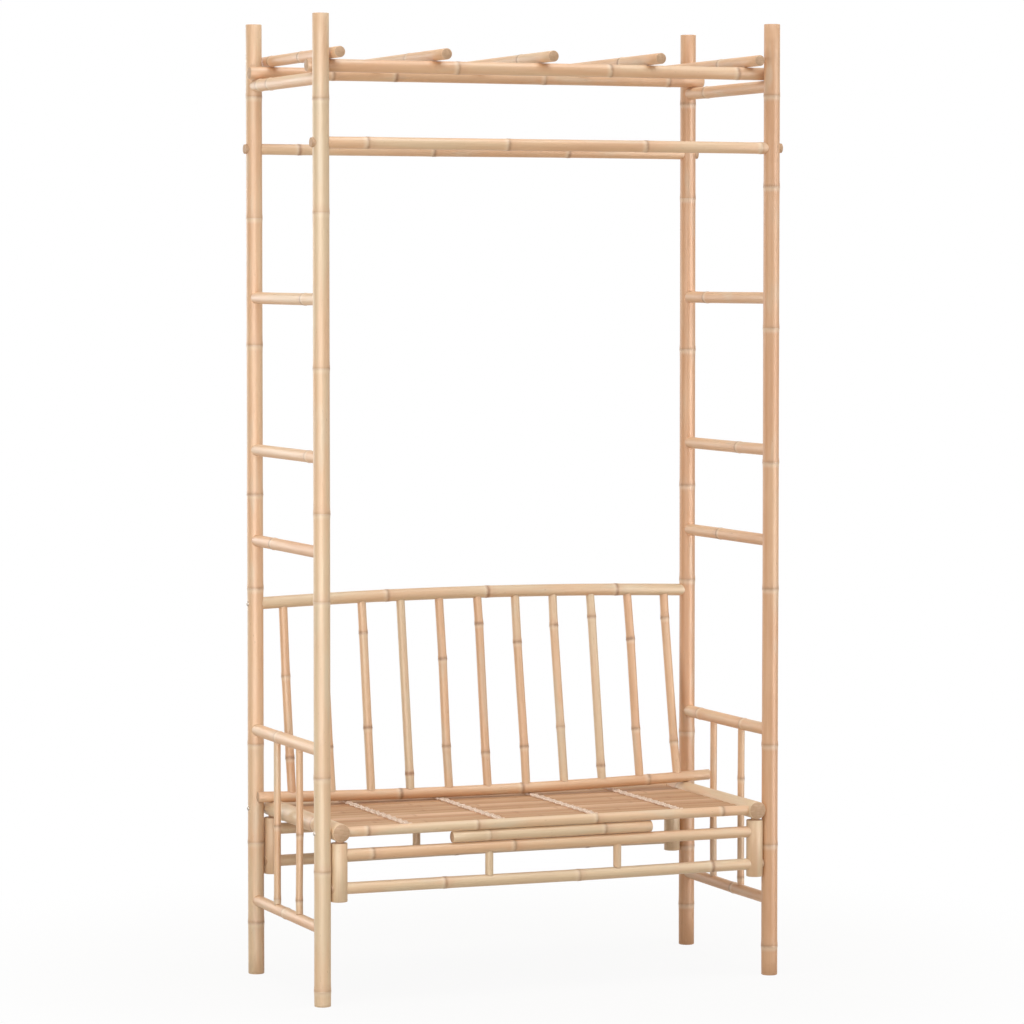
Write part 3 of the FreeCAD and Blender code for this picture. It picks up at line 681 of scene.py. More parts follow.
class Nodes:
    """A node tree that is being put together."""

    def __init__(self, tree, output):
        self.tree = tree
        self.tree.nodes.clear()
        self.output = self.add(output)

    def add(self, kind, **settings):
        node = self.tree.nodes.new(kind)
        for name, value in settings.items():
            setattr(node, name, value)
        return node

    def link(self, source, target):
        self.tree.links.new(source, target)

    def feed(self, socket, value):
        """Link a value that comes from a node, or set one that is a plain number or colour."""
        if isinstance(value, bpy.types.NodeSocket):
            self.link(value, socket)
        else:
            socket.default_value = value

    def fill(self, node, **values):
        """Feed a node's inputs, which are named with _ in place of each space."""
        for name, value in values.items():
            self.feed(node.inputs[name.replace("_", " ")], value)
        return node.outputs

    def math(self, operation, first, second):
        node = self.add("ShaderNodeMath", operation=operation)
        self.feed(node.inputs[0], first)
        self.feed(node.inputs[1], second)
        return node.outputs[0]

    def show_white(self, kind, shader, share=1.0):
        """Show the camera and clear or glossy surfaces a share of plain white in place of a shader."""
        rays = self.add("ShaderNodeLightPath").outputs
        seen = self.math("MAXIMUM", rays["Is Camera Ray"], rays["Is Glossy Ray"])
        seen = self.math("MAXIMUM", seen, rays["Is Transmission Ray"])
        white = self.fill(self.add(kind), Color=WHITE, Strength=1.0)[0]
        mix = self.add("ShaderNodeMixShader")
        for socket, value in zip(mix.inputs, (self.math("MULTIPLY", seen, share), shader, white)):
            self.link(value, socket)
        self.link(mix.outputs[0], self.output.inputs["Surface"])


class Looks(Nodes):
    """A material that is being put together."""

    def __init__(self, name):
        stale = bpy.data.materials.get(name)
        if stale:
            bpy.data.materials.remove(stale)
        self.material = bpy.data.materials.new(name)
        self.material.use_nodes = True
        super().__init__(self.material.node_tree, "ShaderNodeOutputMaterial")
        self.shader = self.add("ShaderNodeBsdfPrincipled")
        self.link(self.shader.outputs["BSDF"], self.output.inputs["Surface"])

    def attribute(self, name):
        node = self.add("ShaderNodeAttribute", attribute_type="GEOMETRY", attribute_name=name)
        return node.outputs["Vector"]

    def place(self):
        return self.add("ShaderNodeTexCoord").outputs["Object"]

    def split(self, vector):
        return self.fill(self.add("ShaderNodeSeparateXYZ"), Vector=vector)

    def pattern(self, kind, vector, scale, **values):
        """A pattern with its own scale along each axis."""
        stretched = self.fill(self.add("ShaderNodeMapping"), Vector=vector, Scale=scale)["Vector"]
        return self.fill(self.add(kind), Vector=stretched, Scale=1.0, **values)

    def noise(self, vector, scale, detail=2.0, roughness=0.5):
        return self.pattern("ShaderNodeTexNoise", vector, scale, Detail=detail, Roughness=roughness)["Fac"]

    def cells(self, vector, scale):
        return self.pattern("ShaderNodeTexVoronoi", vector, scale)["Distance"]

    def span(self, value, low, high, start=0.0, stop=1.0):
        """Follow a value smoothly from start to stop while it goes from low to high."""
        node = self.add("ShaderNodeMapRange", interpolation_type="SMOOTHSTEP")
        return self.fill(node, Value=value, From_Min=low, From_Max=high, To_Min=start, To_Max=stop)["Result"]

    def ramp(self, value, stops):
        node = self.add("ShaderNodeValToRGB")
        elements = node.color_ramp.elements
        while len(elements) < len(stops):
            elements.new(0.5)
        for element, (place, colour) in zip(elements, stops):
            element.position = place
            element.color = (*colour, 1.0)
        return self.fill(node, Fac=value)["Color"]

    def blend(self, amount, first, second, kind="MIX"):
        node = self.add("ShaderNodeMix", data_type="RGBA", blend_type=kind)
        self.feed(node.inputs[0], amount)
        for socket, colour in ((node.inputs[6], first), (node.inputs[7], second)):
            self.feed(socket, colour if isinstance(colour, bpy.types.NodeSocket) else (*colour, 1.0))
        return node.outputs[2]

    def stain(self, colour, pattern, low, high, amount, tint, kind="MIX"):
        """Lay a tint over a colour, by up to an amount, where a pattern goes from low to high."""
        return self.blend(self.span(pattern, low, high, 0.0, amount), colour, tint, kind)

    def finish(self, colour, roughness, relief, depth, strength, **values):
        """Lead colour, roughness and relief to the shader and set its other inputs."""
        bump = self.fill(self.add("ShaderNodeBump"), Height=relief, Distance=depth, Strength=strength)
        self.fill(self.shader, Base_Color=colour, Roughness=roughness, Normal=bump["Normal"], **values)


def make_cane_skin(colours):
    """Satin skin of a peeled cane: fine grain along it, stained patches, specks, and scars at the rings."""
    looks = Looks("cane_skin")
    distance, side, tone = looks.split(looks.attribute("growth"))
    grain = looks.attribute("grain")
    patches = looks.noise(grain, (26, 26, 3.2), 3.0)
    fibres = looks.noise(grain, (900, 900, 9), 3.0, 0.65)
    streaks = looks.noise(grain, (210, 210, 4.5), 3.0, 0.6)
    tone = looks.math("ADD", tone, looks.span(patches, 0.3, 0.7, -0.24, 0.24))
    colour = looks.ramp(tone, ((0.0, colours.green), (0.42, colours.pale), (1.0, colours.tan)))
    colour = looks.stain(colour, fibres, 0.35, 0.75, 0.16, (0.52, 0.31, 0.17), "MULTIPLY")
    colour = looks.stain(colour, streaks, 0.56, 0.74, 0.20, (0.58, 0.36, 0.20))
    for scale, low, high, amount, tint in CANE_STAINS:
        colour = looks.stain(colour, looks.noise(grain, scale), low, high, amount, tint)

    ragged = looks.noise(grain, (170, 170, 170))
    edge = looks.math("ADD", distance, looks.span(ragged, 0.2, 0.8, -0.0008, 0.0008))
    faint = looks.noise(grain, (38, 38, 14), 1.0)
    vivid = looks.math("MULTIPLY", looks.span(faint, 0.40, 0.56, 0.45, 1.0), looks.attribute("mark"))
    above = looks.span(side, -0.2, 0.2)
    below = looks.span(side, -0.2, 0.2, 1.0, 0.0)
    # The marks of a ring: dust below it, shade above it, a brown band, and last the line of the scar
    for where, low, high, amount, share, tint in (
        (distance, 0.004, 0.016, 0.60, below, (0.80, 0.65, 0.48)),
        (distance, 0.004, 0.028, 0.30, above, (0.58, 0.35, 0.21)),
        (edge, 0.0018, 0.0080, 0.85, vivid, (0.48, 0.27, 0.155)),
        (edge, 0.0009, 0.0036, 0.80, vivid, colours.scar),
    ):
        mark = looks.math("MULTIPLY", looks.span(where, low, high, amount, 0.0), share)
        colour = looks.blend(mark, colour, tint)

    relief = looks.math("ADD", looks.math("MULTIPLY", fibres, 0.5), looks.span(streaks, 0.4, 0.75, 0.5, 0))
    relief = looks.math("SUBTRACT", relief, looks.math("MULTIPLY", mark, 1.2))
    rough = looks.span(streaks, 0.3, 0.7, 0.46, 0.56)
    looks.finish(colour, rough, relief, 0.00022, 0.5, Specular_IOR_Level=0.5)


def make_sawn_end(colours):
    """End grain: pale pith with dark pores, a little scorched by the saw."""
    looks = Looks("sawn_end")
    grain = looks.attribute("grain")
    pores = looks.cells(grain, (1100, 1100, 1100))
    cloud = looks.noise(grain, (120, 120, 120), 3.0)
    saw = looks.noise(grain, (900, 60, 60))
    colour = looks.stain(colours.sawn, cloud, 0.3, 0.7, 0.4, (0.44, 0.28, 0.16))
    colour = looks.stain(colour, saw, 0.45, 0.7, 0.25, (0.80, 0.63, 0.46))
    colour = looks.blend(looks.span(pores, 0.12, 0.30, 0.28, 0.0), colour, (0.45, 0.28, 0.16))
    relief = looks.math("ADD", saw, looks.span(pores, 0.1, 0.3))
    rough = looks.span(cloud, 0.3, 0.7, 0.62, 0.78)
    looks.finish(colour, rough, relief, 0.00025, 0.6, Specular_IOR_Level=0.25)


def make_seat_cane(colours):
    """Brown split cane with long streaks and darker rings."""
    looks = Looks("seat_cane")
    distance, side, tone = looks.split(looks.attribute("growth"))
    grain = looks.attribute("grain")
    patches = looks.noise(grain, (14, 14, 2.4), 3.0)
    streaks = looks.noise(grain, (170, 170, 2.2), 4.0, 0.6)
    fibres = looks.noise(grain, (1300, 1300, 12))
    ragged = looks.noise(grain, (260, 260, 260))
    tone = looks.math("ADD", tone, looks.span(patches, 0.3, 0.7, -0.25, 0.25))
    edge = looks.math("ADD", distance, looks.span(ragged, 0.2, 0.8, -0.0008, 0.0008))
    colour = looks.ramp(tone, ((0.0, (0.68, 0.44, 0.28)), (0.5, colours.seat), (1.0, (0.50, 0.275, 0.145))))
    colour = looks.stain(colour, streaks, 0.48, 0.72, 0.60, colours.seat_dark)
    colour = looks.stain(colour, fibres, 0.5, 0.75, 0.30, (0.72, 0.50, 0.30))
    colour = looks.blend(looks.span(edge, 0.001, 0.008, 0.25, 0.0), colour, (0.40, 0.21, 0.11))
    colour = looks.blend(looks.span(edge, 0.0004, 0.0016, 0.30, 0.0), colour, (0.26, 0.13, 0.07))
    relief = looks.math("ADD", looks.math("MULTIPLY", fibres, 0.4), looks.span(streaks, 0.4, 0.75, 0.6, 0))
    rough = looks.span(streaks, 0.3, 0.7, 0.55, 0.70)
    looks.finish(colour, rough, relief, 0.0003, 0.6, Specular_IOR_Level=0.3)


def make_lashing_cord(colours):
    """Pale spun fibre."""
    looks = Looks("lashing_cord")
    place = looks.place()
    fibres = looks.noise(place, (1500, 700, 1500), 3.0, 0.7)
    colour = looks.stain(colours.cord, fibres, 0.35, 0.7, 0.5, (0.70, 0.50, 0.38))
    colour = looks.stain(colour, looks.noise(place, (60, 60, 60)), 0.5, 0.75, 0.35, (0.74, 0.56, 0.42))
    looks.finish(colour, looks.span(fibres, 0.3, 0.7, 0.78, 0.95), fibres, 0.0003, 0.8, Sheen_Weight=0.3,
                 Specular_IOR_Level=0.2)


def make_bolt_steel(colours):
    """Dull zinc with a mottled crystal look and darker rub marks."""
    looks = Looks("bolt_steel")
    place = looks.place()
    crystals = looks.cells(place, (700, 700, 700))
    wear = looks.noise(place, (300, 300, 300), 3.0)
    colour = looks.stain(colours.steel, crystals, 0.1, 0.7, 0.6, (0.56, 0.52, 0.47))
    colour = looks.stain(colour, wear, 0.5, 0.7, 0.5, (0.28, 0.22, 0.17))
    looks.finish(colour, looks.span(wear, 0.3, 0.7, 0.36, 0.58), wear, 0.0001, 0.4, Metallic=0.9)


# The pieces


class ARBOUR_OT_finishes(bpy.types.Operator):
    """Mix the finishes of canes, cord and steel"""

    bl_idname = "arbour.finishes"
    bl_label = "Finishes"

    def execute(self, context):
        for make in (make_cane_skin, make_sawn_end, make_seat_cane, make_lashing_cord, make_bolt_steel):
            make(context.scene.arbour_colours)
        return {"FINISHED"}


class ARBOUR_OT_posts(bpy.types.Operator):
    """Grow the four corner posts, bored for the header rails and the bolts"""

    bl_idname = "arbour.posts"
    bl_label = "Corner posts"

    def execute(self, context):
        for side in SIDES:
            for end in ENDS:
                start, stop = box_line(f"post_{end}_{side}", Z)
                height = (stop - start).length
                rings = [(share * height, strength) for share, strength in POST_RINGS[f"{end}_{side}"]]
                header = at_height(start, middle(f"header_rail_{end}").z)
                bores = [around(header, ALONG_X, grip(RAIL_TENON))]
                for bolt in bolt_spots(end, side):
                    bores.append(around(bolt, ALONG_X, grip(BOLT_SHANK)))
                    if side == "right":
                        bores.append(head_recess(bolt))
                # Each post's tone: for the two right posts this is partly painted shade
                cane(f"post_{end}_{side}", start, stop, post_radius(), "post", rings, bores=bores,
                     tone=POST_TONES_AND_SHADE[f"{end}_{side}"], kink=(0.0003, 0.0003), taper=0.0002)
        return {"FINISHED"}


class ARBOUR_OT_side_frames(bpy.types.Operator):
    """Grow the rungs, arm rails, foot rails and spindles between the posts of each side"""

    bl_idname = "arbour.side_frames"
    bl_label = "Side frames"

    def execute(self, context):
        for side in SIDES:
            posts = [post_axis(end, side) for end in ENDS]
            nodes = [f"rung_{side}_{level}" for level in LEVELS]
            nodes += [f"{kind}_rail_{side}" for kind in ("arm", "foot", "roof_side")]
            for node in nodes:
                level_cane(node, posts, post_radius(), "side", cross_radius)
            rails = (f"foot_rail_{side}", f"arm_rail_{side}")
            for end in ENDS:
                node = f"spindle_{side}_{end}"
                spots, cuts = upright_ends(middle(node), rails, ALONG_Y, cross_radius)
                cane(node, *spots, cross_radius(node), "side", strength=0.8, cuts=cuts,
                     kink=(0.0012, 0.0012))
        return {"FINISHED"}


class ARBOUR_OT_roof(bpy.types.Operator):
    """Grow the beams, cross bars and header rails of the roof"""

    bl_idname = "arbour.roof"
    bl_label = "Roof"

    def execute(self, context):
        for end in ENDS:
            straight_cane(f"roof_beam_{end}", X, "roof", strength=0.8, kink=(0.0012, 0.0002))
        for number in range(1, ROOF_BARS + 1):
            straight_cane(f"roof_bar_{number}", Y, "roof", kink=(0.0002, 0.0015))
        for end in ENDS:
            posts = [post_axis(end, side) for side in SIDES]
            level_cane(f"header_rail_{end}", posts, post_radius(), "roof", tenoned=True,
                       kink=(0.0015, 0.0008))
        return {"FINISHED"}


class ARBOUR_OT_bench_frame(bpy.types.Operator):
    """Grow the side rails, legs, long rails, spacers and the wedged pole of the bench"""

    bl_idname = "arbour.bench_frame"
    bl_label = "Bench frame"

    def execute(self, context):
        for side in SIDES:
            self.grow_side(side)
        for level in ("seat", "upper", "lower"):
            for end in ENDS:
                node = f"{level}_rail_{end}"
                legs = [middle(f"leg_{end}_{side}") for side in SIDES]
                cuts = self.side_rail_cuts(legs[0].y) if level == "seat" else ()
                kink, rise = RAIL_BENDS[node]
                level_cane(node, legs, cross_radius("leg_front_left"), "bench", cuts=cuts,
                           strength=TIGHT_RING if node in TIGHT_CANES else 1.0, tenoned=level == "lower",
                           kink=kink, rise=rise)
        straight_cane("wedged_pole", X, "bench", strength=TIGHT_RING, kink=(0.0006, 0.0))
        self.grow_spacers()
        return {"FINISHED"}

    def side_rail_cuts(self, depth):
        """Cuts that fit a seat rail's ends round the side rails."""
        rails = [middle(f"seat_side_rail_{side}") for side in SIDES]
        radius = grip(cross_radius("seat_side_rail_left"))
        return [around(Vector((rail.x, depth, rail.z)), ALONG_Y, radius) for rail in rails]

    def grow_side(self, side):
        """A side rail, bored for its legs' tenons and its bolts, and the two legs under it."""
        bores = []
        for end in ENDS:
            shoulder = box_line(f"leg_{end}_{side}", Z)[1]
            bores.append((shoulder - ALONG_Z, shoulder + Vector((0, 0, grip(0))), grip(LEG_TENON)))
            bores.append(bolt_bore(side, bolt_spots(end, side)[0]))
        straight_cane(f"seat_side_rail_{side}", Y, "bench", strength=0.9, bores=bores, kink=(0.0002, 0.0003))
        for end in ENDS:
            foot, tip = box_line(f"leg_{end}_{side}", Z)
            shoulder = at_height(foot, LEG_SHOULDER)
            tenon = (shoulder - Vector((0, 0, LEG_TENON_ROOT)), tip, LEG_TENON)
            bore = around(at_height(foot, middle(f"lower_rail_{end}").z), ALONG_X, grip(RAIL_TENON))
            cane(f"leg_{end}_{side}", foot, shoulder, cross_radius("leg_front_left"), "bench", [],
                 tenons=[tenon], bores=[bore], kink=(0, 0))

    def grow_spacers(self):
        """The four short uprights between the lower and upper rails."""
        low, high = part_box("bench_spacers")
        number = 0
        for end, depth in zip(ENDS, (low.y + SPACER_RADIUS, high.y - SPACER_RADIUS)):
            rails = (f"lower_rail_{end}", f"upper_rail_{end}")
            for across in (low.x + SPACER_RADIUS, high.x - SPACER_RADIUS):
                number += 1
                spots, cuts = upright_ends(Vector((across, depth, 0)), rails, ALONG_X, half_height)
                cane("bench_spacers", *spots, SPACER_RADIUS, "bench", [], cuts=cuts, kink=(0, 0),
                     name=f"bench_spacer_{number}")


class ARBOUR_OT_seat_strips(bpy.types.Operator):
    """Split the seat's canes into strips, flat below and crowned above"""

    bl_idname = "arbour.seat_strips"
    bl_label = "Seat strips"

    def execute(self, context):
        gap = context.scene.arbour_seat.gap
        low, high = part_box("seat_strips")
        pitch = (high.y - low.y + gap) / SEAT_STRIPS
        width = pitch - gap
        length = high.x - low.x
        chance = seeded("seat strips")
        for number in range(SEAT_STRIPS):
            place = chance.uniform(*STRIP_FIRST_RING)
            rings = []
            while place < length - STRIP_END:
                rings.append((place, chance.uniform(*STRIP_RING_STRENGTH)))
                place += chance.uniform(*STRIP_JOINT)
            piece = self.split_cane(f"seat_strip_{number + 1:02d}", width, high.z - low.z, length, rings)
            across = low.y + number * pitch + width / 2
            start = Vector((low.x, across, low.z))
            piece.matrix_world = cane_frame(start, start + ALONG_X)
            note_growth(piece, length, rings, STRIP_TONES, chance)
            finish_piece(piece, "seat_strips")
        return {"FINISHED"}

    def split_cane(self, name, width, thickness, length, rings):
        """One strip up Z, its flat side on the XZ plane, drawn out section by section."""
        edge = bpy.context.scene.arbour_seat.edge
        piece = add_primitive(bpy.ops.mesh.primitive_plane_add, name, size=1)
        set_mode("EDIT")
        bpy.ops.transform.resize(value=(width, edge, 1), center_override=(0, 0, 0))
        bpy.ops.transform.translate(value=(0, edge / 2, 0))
        self.crown(piece.data, width, thickness, edge)
        sections = []
        for station in cane_stations(length, rings, STRIP_STEP, STRIP_RIM):
            swell = STRIP_SWELL * ring_swell(station, rings) / thickness
            sections.append((Vector((0, 0, station)), 1.0 + swell))
        draw_out(sections, across=False)
        piece.data.materials.append(bpy.data.materials["seat_cane"])
        return piece

    def crown(self, mesh, width, thickness, edge):
        """Divide the upper edge of the section, raise its middle and round its corners."""
        self.pick_upper(mesh, edge / 2, 0, width)
        bpy.ops.mesh.subdivide(number_cuts=STRIP_CUTS)
        set_mode("OBJECT")
        upper = {round(abs(point.co.x), 6) for point in mesh.vertices if point.co.y > edge / 2}
        for across in sorted(upper):
            self.pick_upper(mesh, edge / 2, across, NEAR)
            share = across / (width / 2)
            rise = (thickness - edge) * (1 - share ** 2) - (STRIP_CORNER if share > 0.99 else 0.0)
            bpy.ops.transform.translate(value=(0, rise, 0))
            set_mode("OBJECT")

    def pick_upper(self, mesh, height, across, room):
        """Select the points over a height that lie about so far to either side, and stay in edit mode."""
        set_mode("EDIT")
        bpy.ops.mesh.select_all(action="DESELECT")
        set_mode("OBJECT")
        for point in mesh.vertices:
            point.select = point.co.y > height and abs(abs(point.co.x) - across) < room
        set_mode("EDIT")


class ARBOUR_OT_seat_bearers(bpy.types.Operator):
    """Grow the thin canes under the seat strips"""

    bl_idname = "arbour.seat_bearers"
    bl_label = "Seat bearers"

    def execute(self, context):
        foremost, hindmost = box_line("seat_bearers", Y)
        for number, across in enumerate(bearer_places()):
            start = Vector((across, foremost.y - BEARER_SPARE, foremost.z))
            stop = Vector((across, hindmost.y + BEARER_SPARE, hindmost.z))
            cuts = []
            for end in ENDS:
                rail = middle(f"seat_rail_{end}")
                radius = grip(cross_radius(f"seat_rail_{end}"))
                cuts.append(around(Vector((across, rail.y, rail.z)), ALONG_X, radius))
            rings = [(first + step * number, 0.5) for first, step in BEARER_RINGS]
            cane("seat_bearers", start, stop, half_height("seat_bearers"), "side", rings, cuts=cuts,
                 kink=(0, 0), slot="seat_cane", name=f"seat_bearer_{number + 1}")
        return {"FINISHED"}


class ARBOUR_OT_cord_stitches(bpy.types.Operator):
    """Lay the lashing over each bearer: two strands that cross between the strips and over each of them"""

    bl_idname = "arbour.cord_stitches"
    bl_label = "Lashing cord"

    def execute(self, context):
        chance = seeded("lashing")
        for number, across in enumerate(bearer_places()):
            strands = [self.strand(across, swing, chance) for swing in LASHING_SWINGS]
            make_active(strands[0])
            for piece in strands:
                piece.select_set(True)
            bpy.ops.object.join()
            row = bpy.context.object
            row.name = f"lashing_row_{number + 1}"
            row.data.name = row.name
            row.data.materials.append(bpy.data.materials["lashing_cord"])
            finish_piece(row, "cord_stitches")
        return {"FINISHED"}

    def strand(self, across, swing, chance):
        """One strand, which weaves from side to side and goes over and under the other in turn."""
        low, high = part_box("cord_stitches")
        radius = bpy.context.scene.arbour_seat.strand
        curve = bpy.data.curves.new("lashing_strand", "CURVE")
        curve.dimensions = "3D"
        curve.bevel_depth = radius
        curve.bevel_resolution = 2
        curve.use_fill_caps = True
        curve.resolution_u = 4
        quarters = 4 * SEAT_STRIPS
        spline = curve.splines.new("NURBS")
        spline.points.add(quarters)
        weave = (0, 1, 0, -1)
        over = (1, 0, -1, 0)
        for number, point in enumerate(spline.points):
            aside = swing * weave[number % 4] * chance.uniform(*LASHING_STRAY)
            height = 2 * radius + math.copysign(radius, swing) * over[number % 4]
            depth = low.y + radius + (high.y - low.y - 2 * radius) * number / quarters
            point.co = (across + aside, depth, low.z + height * LASHING_FLATNESS, 1.0)
        spline.order_u = 3
        spline.use_endpoint_u = True
        piece = bpy.data.objects.new("lashing_strand", curve)
        bpy.context.collection.objects.link(piece)
        make_active(piece)
        bpy.ops.object.convert(target="MESH")
        return bpy.context.object


class LowRail:
    """The line of the low back rail, which lies askew on the side rails and sags between them."""

    def __init__(self):
        low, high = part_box("back_rail_low")
        lean = math.atan(LOW_RAIL_SLOPE)
        depth = LOW_RAIL_RADIUS * math.cos(lean)
        width = LOW_RAIL_RADIUS * math.sin(lean)
        self.start = Vector((low.x + width, high.y - depth, 0))
        self.stop = Vector((high.x - width, low.y + depth, 0))
        length = self.stop.x - self.start.x
        self.slope = (self.stop.y - self.start.y) / length
        side_rail = box_line("seat_side_rail_right", Z)[1]
        rest_z = side_rail.z + grip(LOW_RAIL_RADIUS)
        middle_z = rest_z - LOW_RAIL_SAG - LOW_RAIL_SADDLE / 2
        self.tilt = LOW_RAIL_SADDLE / (2 * side_rail.x)
        self.curve = LOW_RAIL_SAG / side_rail.x ** 2
        for end in (self.start, self.stop):
            end.z = middle_z + self.tilt * end.x + self.curve * end.x ** 2
        self.sag = self.curve * (length / 2) ** 2

    def spot(self, across):
        """The point on the rail's axis at a place along X."""
        share = (across - self.start.x) / (self.stop.x - self.start.x)
        spot = self.start.lerp(self.stop, share)
        spot.z -= self.sag * (1 - (2 * share - 1) ** 2)
        return spot

    def way(self, across):
        """The way the rail runs at a place along X."""
        return Vector((1, self.slope, self.tilt + 2 * self.curve * across))


class ARBOUR_OT_back_rest(bpy.types.Operator):
    """Grow the arched top rail, the slanting low rail and the canes between them"""

    bl_idname = "arbour.back_rest"
    bl_label = "Back rest"

    def execute(self, context):
        start, stop = level_line([post_axis("back", side) for side in SIDES], back_bolt_z())
        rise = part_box("back_rail_top")[1].z - TOP_RAIL_RADIUS - start.z
        cane("back_rail_top", start, stop, TOP_RAIL_RADIUS, "back",
             cuts=[around(spot, ALONG_Z, grip(post_radius())) for spot in (start, stop)],
             bores=[bolt_bore(side, spot) for side, spot in zip(SIDES, (start, stop))],
             kink=(0.0006, 0.0002), rise=rise, tone=TOP_RAIL_TONE)

        rail = LowRail()
        saddle = middle("seat_side_rail_left")
        saddle.y = rail.spot(saddle.x).y
        rest = around(saddle, ALONG_Y, cross_radius("seat_side_rail_left") + SADDLE_GAP)
        stretch = math.hypot(1, rail.slope)
        rings = [((place * MM - rail.start.x) * stretch, 1.0) for place in RINGS["back_rail_low"]]
        cane("back_rail_low", rail.start, rail.stop, LOW_RAIL_RADIUS, "back", rings, cuts=[rest],
             kink=(0.0003, 0.0002), rise=-rail.sag)

        for number, (shares, tone) in enumerate(zip(BACK_CANE_RINGS, BACK_CANE_TONES), 1):
            node = f"back_slat_{number:02d}"
            low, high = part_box(node)
            foot = rail.spot(high.x - SLAT_RADIUS)
            across = low.x + SLAT_RADIUS
            side = 2 * (across - start.x) / (stop.x - start.x) - 1
            head = Vector((across, start.y, start.z + rise * (1 - side ** 2)))
            head_way = Vector((1, 0, -4 * rise * side / (stop.x - start.x)))
            cuts = [
                around(foot, REACH * rail.way(foot.x), LOW_RAIL_RADIUS + SADDLE_GAP),
                around(head, REACH * head_way, TOP_RAIL_RADIUS + SADDLE_GAP),
            ]
            rings = [(share * (head - foot).length, 1.3) for share in shares]
            cane(node, foot, head, SLAT_RADIUS, "back", rings, cuts=cuts, kink=(0.0020, 0.0012), tone=tone)
        return {"FINISHED"}


class ARBOUR_OT_bolts(bpy.types.Operator):
    """Turn the bolts with domed heads and fit one in each bored post"""

    bl_idname = "arbour.bolts"
    bl_label = "Bolts"

    def execute(self, context):
        spots = [(spot, side) for side in SIDES for end in ENDS for spot in bolt_spots(end, side)]
        for number, (spot, side) in enumerate(spots):
            sink = BOLT_SINK if side == "right" else 0.0
            outer = spot + outward(side) * (post_radius() + BOLT_HEAD_HEIGHT - sink)
            inner = spot - outward(side) * BOLT_TIP
            piece = self.turn_bolt(f"post_bolt_{number + 1}", (inner - outer).length)
            piece.matrix_world = cane_frame(outer, inner) @ Matrix.Rotation(BOLT_TURN * number, 4, "Z")
            piece.data.materials.append(bpy.data.materials["bolt_steel"])
            finish_piece(piece, "bolts")
        return {"FINISHED"}

    def turn_bolt(self, name, length):
        """A bolt up Z, its crown at the origin, drawn out ring by ring from the flat of the crown."""
        profile = BOLT_PROFILE + tuple((length - back, radius) for back, radius in BOLT_POINT)
        piece = add_primitive(bpy.ops.mesh.primitive_circle_add, name, vertices=28, radius=profile[0][1],
                              fill_type="NGON")
        draw_out([(Vector((0, 0, place)), radius) for place, radius in profile])
        socket = add_primitive(bpy.ops.mesh.primitive_cylinder_add, "socket", **BOLT_SOCKET)
        combine(piece, socket, "DIFFERENCE")
        return piece


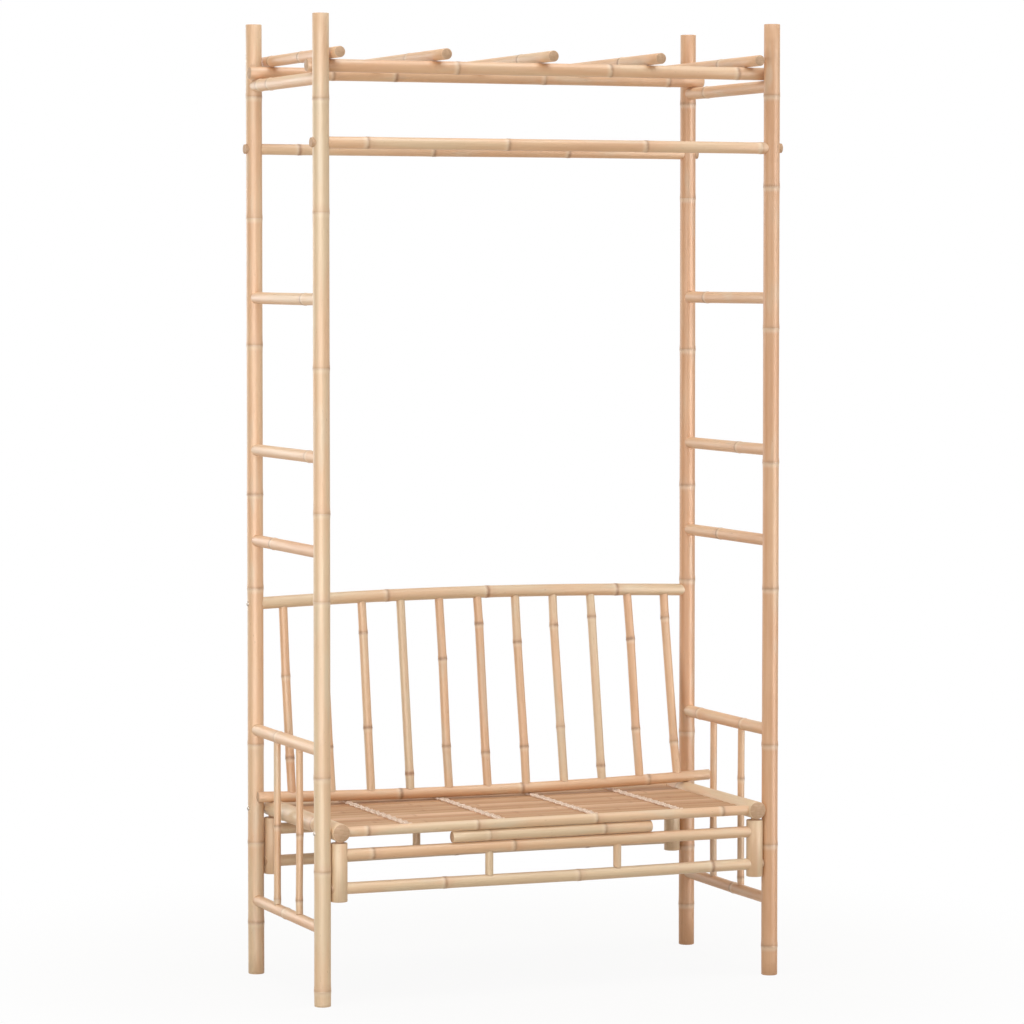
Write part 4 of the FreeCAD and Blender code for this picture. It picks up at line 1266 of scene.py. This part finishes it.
class ARBOUR_OT_stage(bpy.types.Operator):
    """Set up the floor, the light and the camera"""

    bl_idname = "arbour.stage"
    bl_label = "Stage"

    def execute(self, context):
        stage = context.scene.arbour_stage
        self.lay_floor(stage)
        self.light(context.scene, stage)
        self.aim_camera(context.scene, stage)
        return {"FINISHED"}

    def lay_floor(self, stage):
        floor = add_primitive(bpy.ops.mesh.primitive_circle_add, "studio_floor", vertices=64,
                              radius=FLOOR_RADIUS, fill_type="NGON")
        looks = Looks("studio_floor")
        looks.fill(looks.shader, Base_Color=(*stage.floor, 1.0), Roughness=0.9, Specular_IOR_Level=0.1)
        length = looks.add("ShaderNodeVectorMath", operation="LENGTH")
        fade = looks.span(looks.fill(length, Vector=looks.place())["Value"], *FLOOR_FADE)
        looks.show_white("ShaderNodeEmission", looks.shader.outputs["BSDF"], fade)
        floor.data.materials.append(looks.material)

    def light(self, scene, stage):
        scene.world = bpy.data.worlds.new("studio")
        scene.world.use_nodes = True
        nodes = Nodes(scene.world.node_tree, "ShaderNodeOutputWorld")
        sky = nodes.fill(nodes.add("ShaderNodeBackground"), Color=SKY_COLOUR, Strength=stage.sky)[0]
        nodes.show_white("ShaderNodeBackground", sky)
        for name, place, target, size, setting, share, spread in LAMPS:
            clear_selection()
            bpy.ops.object.light_add(type="AREA", location=place)
            lamp = bpy.context.object
            lamp.name = name
            lamp.data.energy = share * getattr(stage, setting)
            lamp.data.shape = "RECTANGLE"
            lamp.data.size, lamp.data.size_y = size
            lamp.data.spread = math.radians(spread)
            lamp.rotation_euler = (Vector(target) - Vector(place)).to_track_quat("-Z", "Y").to_euler()
            lamp.visible_camera = False
            lamp.visible_diffuse = setting != "sheen"

    def aim_camera(self, scene, stage):
        clear_selection()
        bpy.ops.object.camera_add(location=CAMERA_PLACE, rotation=CAMERA_TURN)
        scene.camera = bpy.context.object
        camera = scene.camera.data
        camera.lens = stage.lens
        camera.sensor_width = SENSOR_WIDTH
        camera.shift_y = LENS_SHIFT
        camera.clip_end = VIEW_END
        scene.view_settings.view_transform = "Standard"


class ARBOUR_PT_panel(bpy.types.Panel):
    """Steps that dress the arbour seat"""

    bl_label = "Arbour Seat"
    bl_idname = "ARBOUR_PT_panel"
    bl_space_type = "VIEW_3D"
    bl_region_type = "UI"
    bl_category = "Arbour Seat"

    def draw(self, context):
        for step in STEPS:
            self.layout.operator(step.bl_idname)
        for name in GROUPS:
            group = getattr(context.scene, name)
            box = self.layout.box()
            for setting in group.__annotations__:
                box.prop(group, setting)


STEPS = (
    ARBOUR_OT_finishes,
    ARBOUR_OT_posts,
    ARBOUR_OT_side_frames,
    ARBOUR_OT_roof,
    ARBOUR_OT_bench_frame,
    ARBOUR_OT_seat_strips,
    ARBOUR_OT_seat_bearers,
    ARBOUR_OT_cord_stitches,
    ARBOUR_OT_back_rest,
    ARBOUR_OT_bolts,
    ARBOUR_OT_stage,
)
GROUPS = {
    "arbour_canes": ARBOUR_PG_canes,
    "arbour_seat": ARBOUR_PG_seat,
    "arbour_colours": ARBOUR_PG_colours,
    "arbour_stage": ARBOUR_PG_stage,
}


def register():
    for name, group in GROUPS.items():
        bpy.utils.register_class(group)
        setattr(bpy.types.Scene, name, PointerProperty(type=group))
    for part in (*STEPS, ARBOUR_PT_panel):
        bpy.utils.register_class(part)


def unregister():
    for part in reversed((*STEPS, ARBOUR_PT_panel)):
        bpy.utils.unregister_class(part)
    for name, group in reversed(GROUPS.items()):
        delattr(bpy.types.Scene, name)
        bpy.utils.unregister_class(group)


def main():
    register()
    for step in STEPS:
        getattr(bpy.ops.arbour, step.bl_idname.split(".")[1])()


if __name__ == "__main__":
    main()
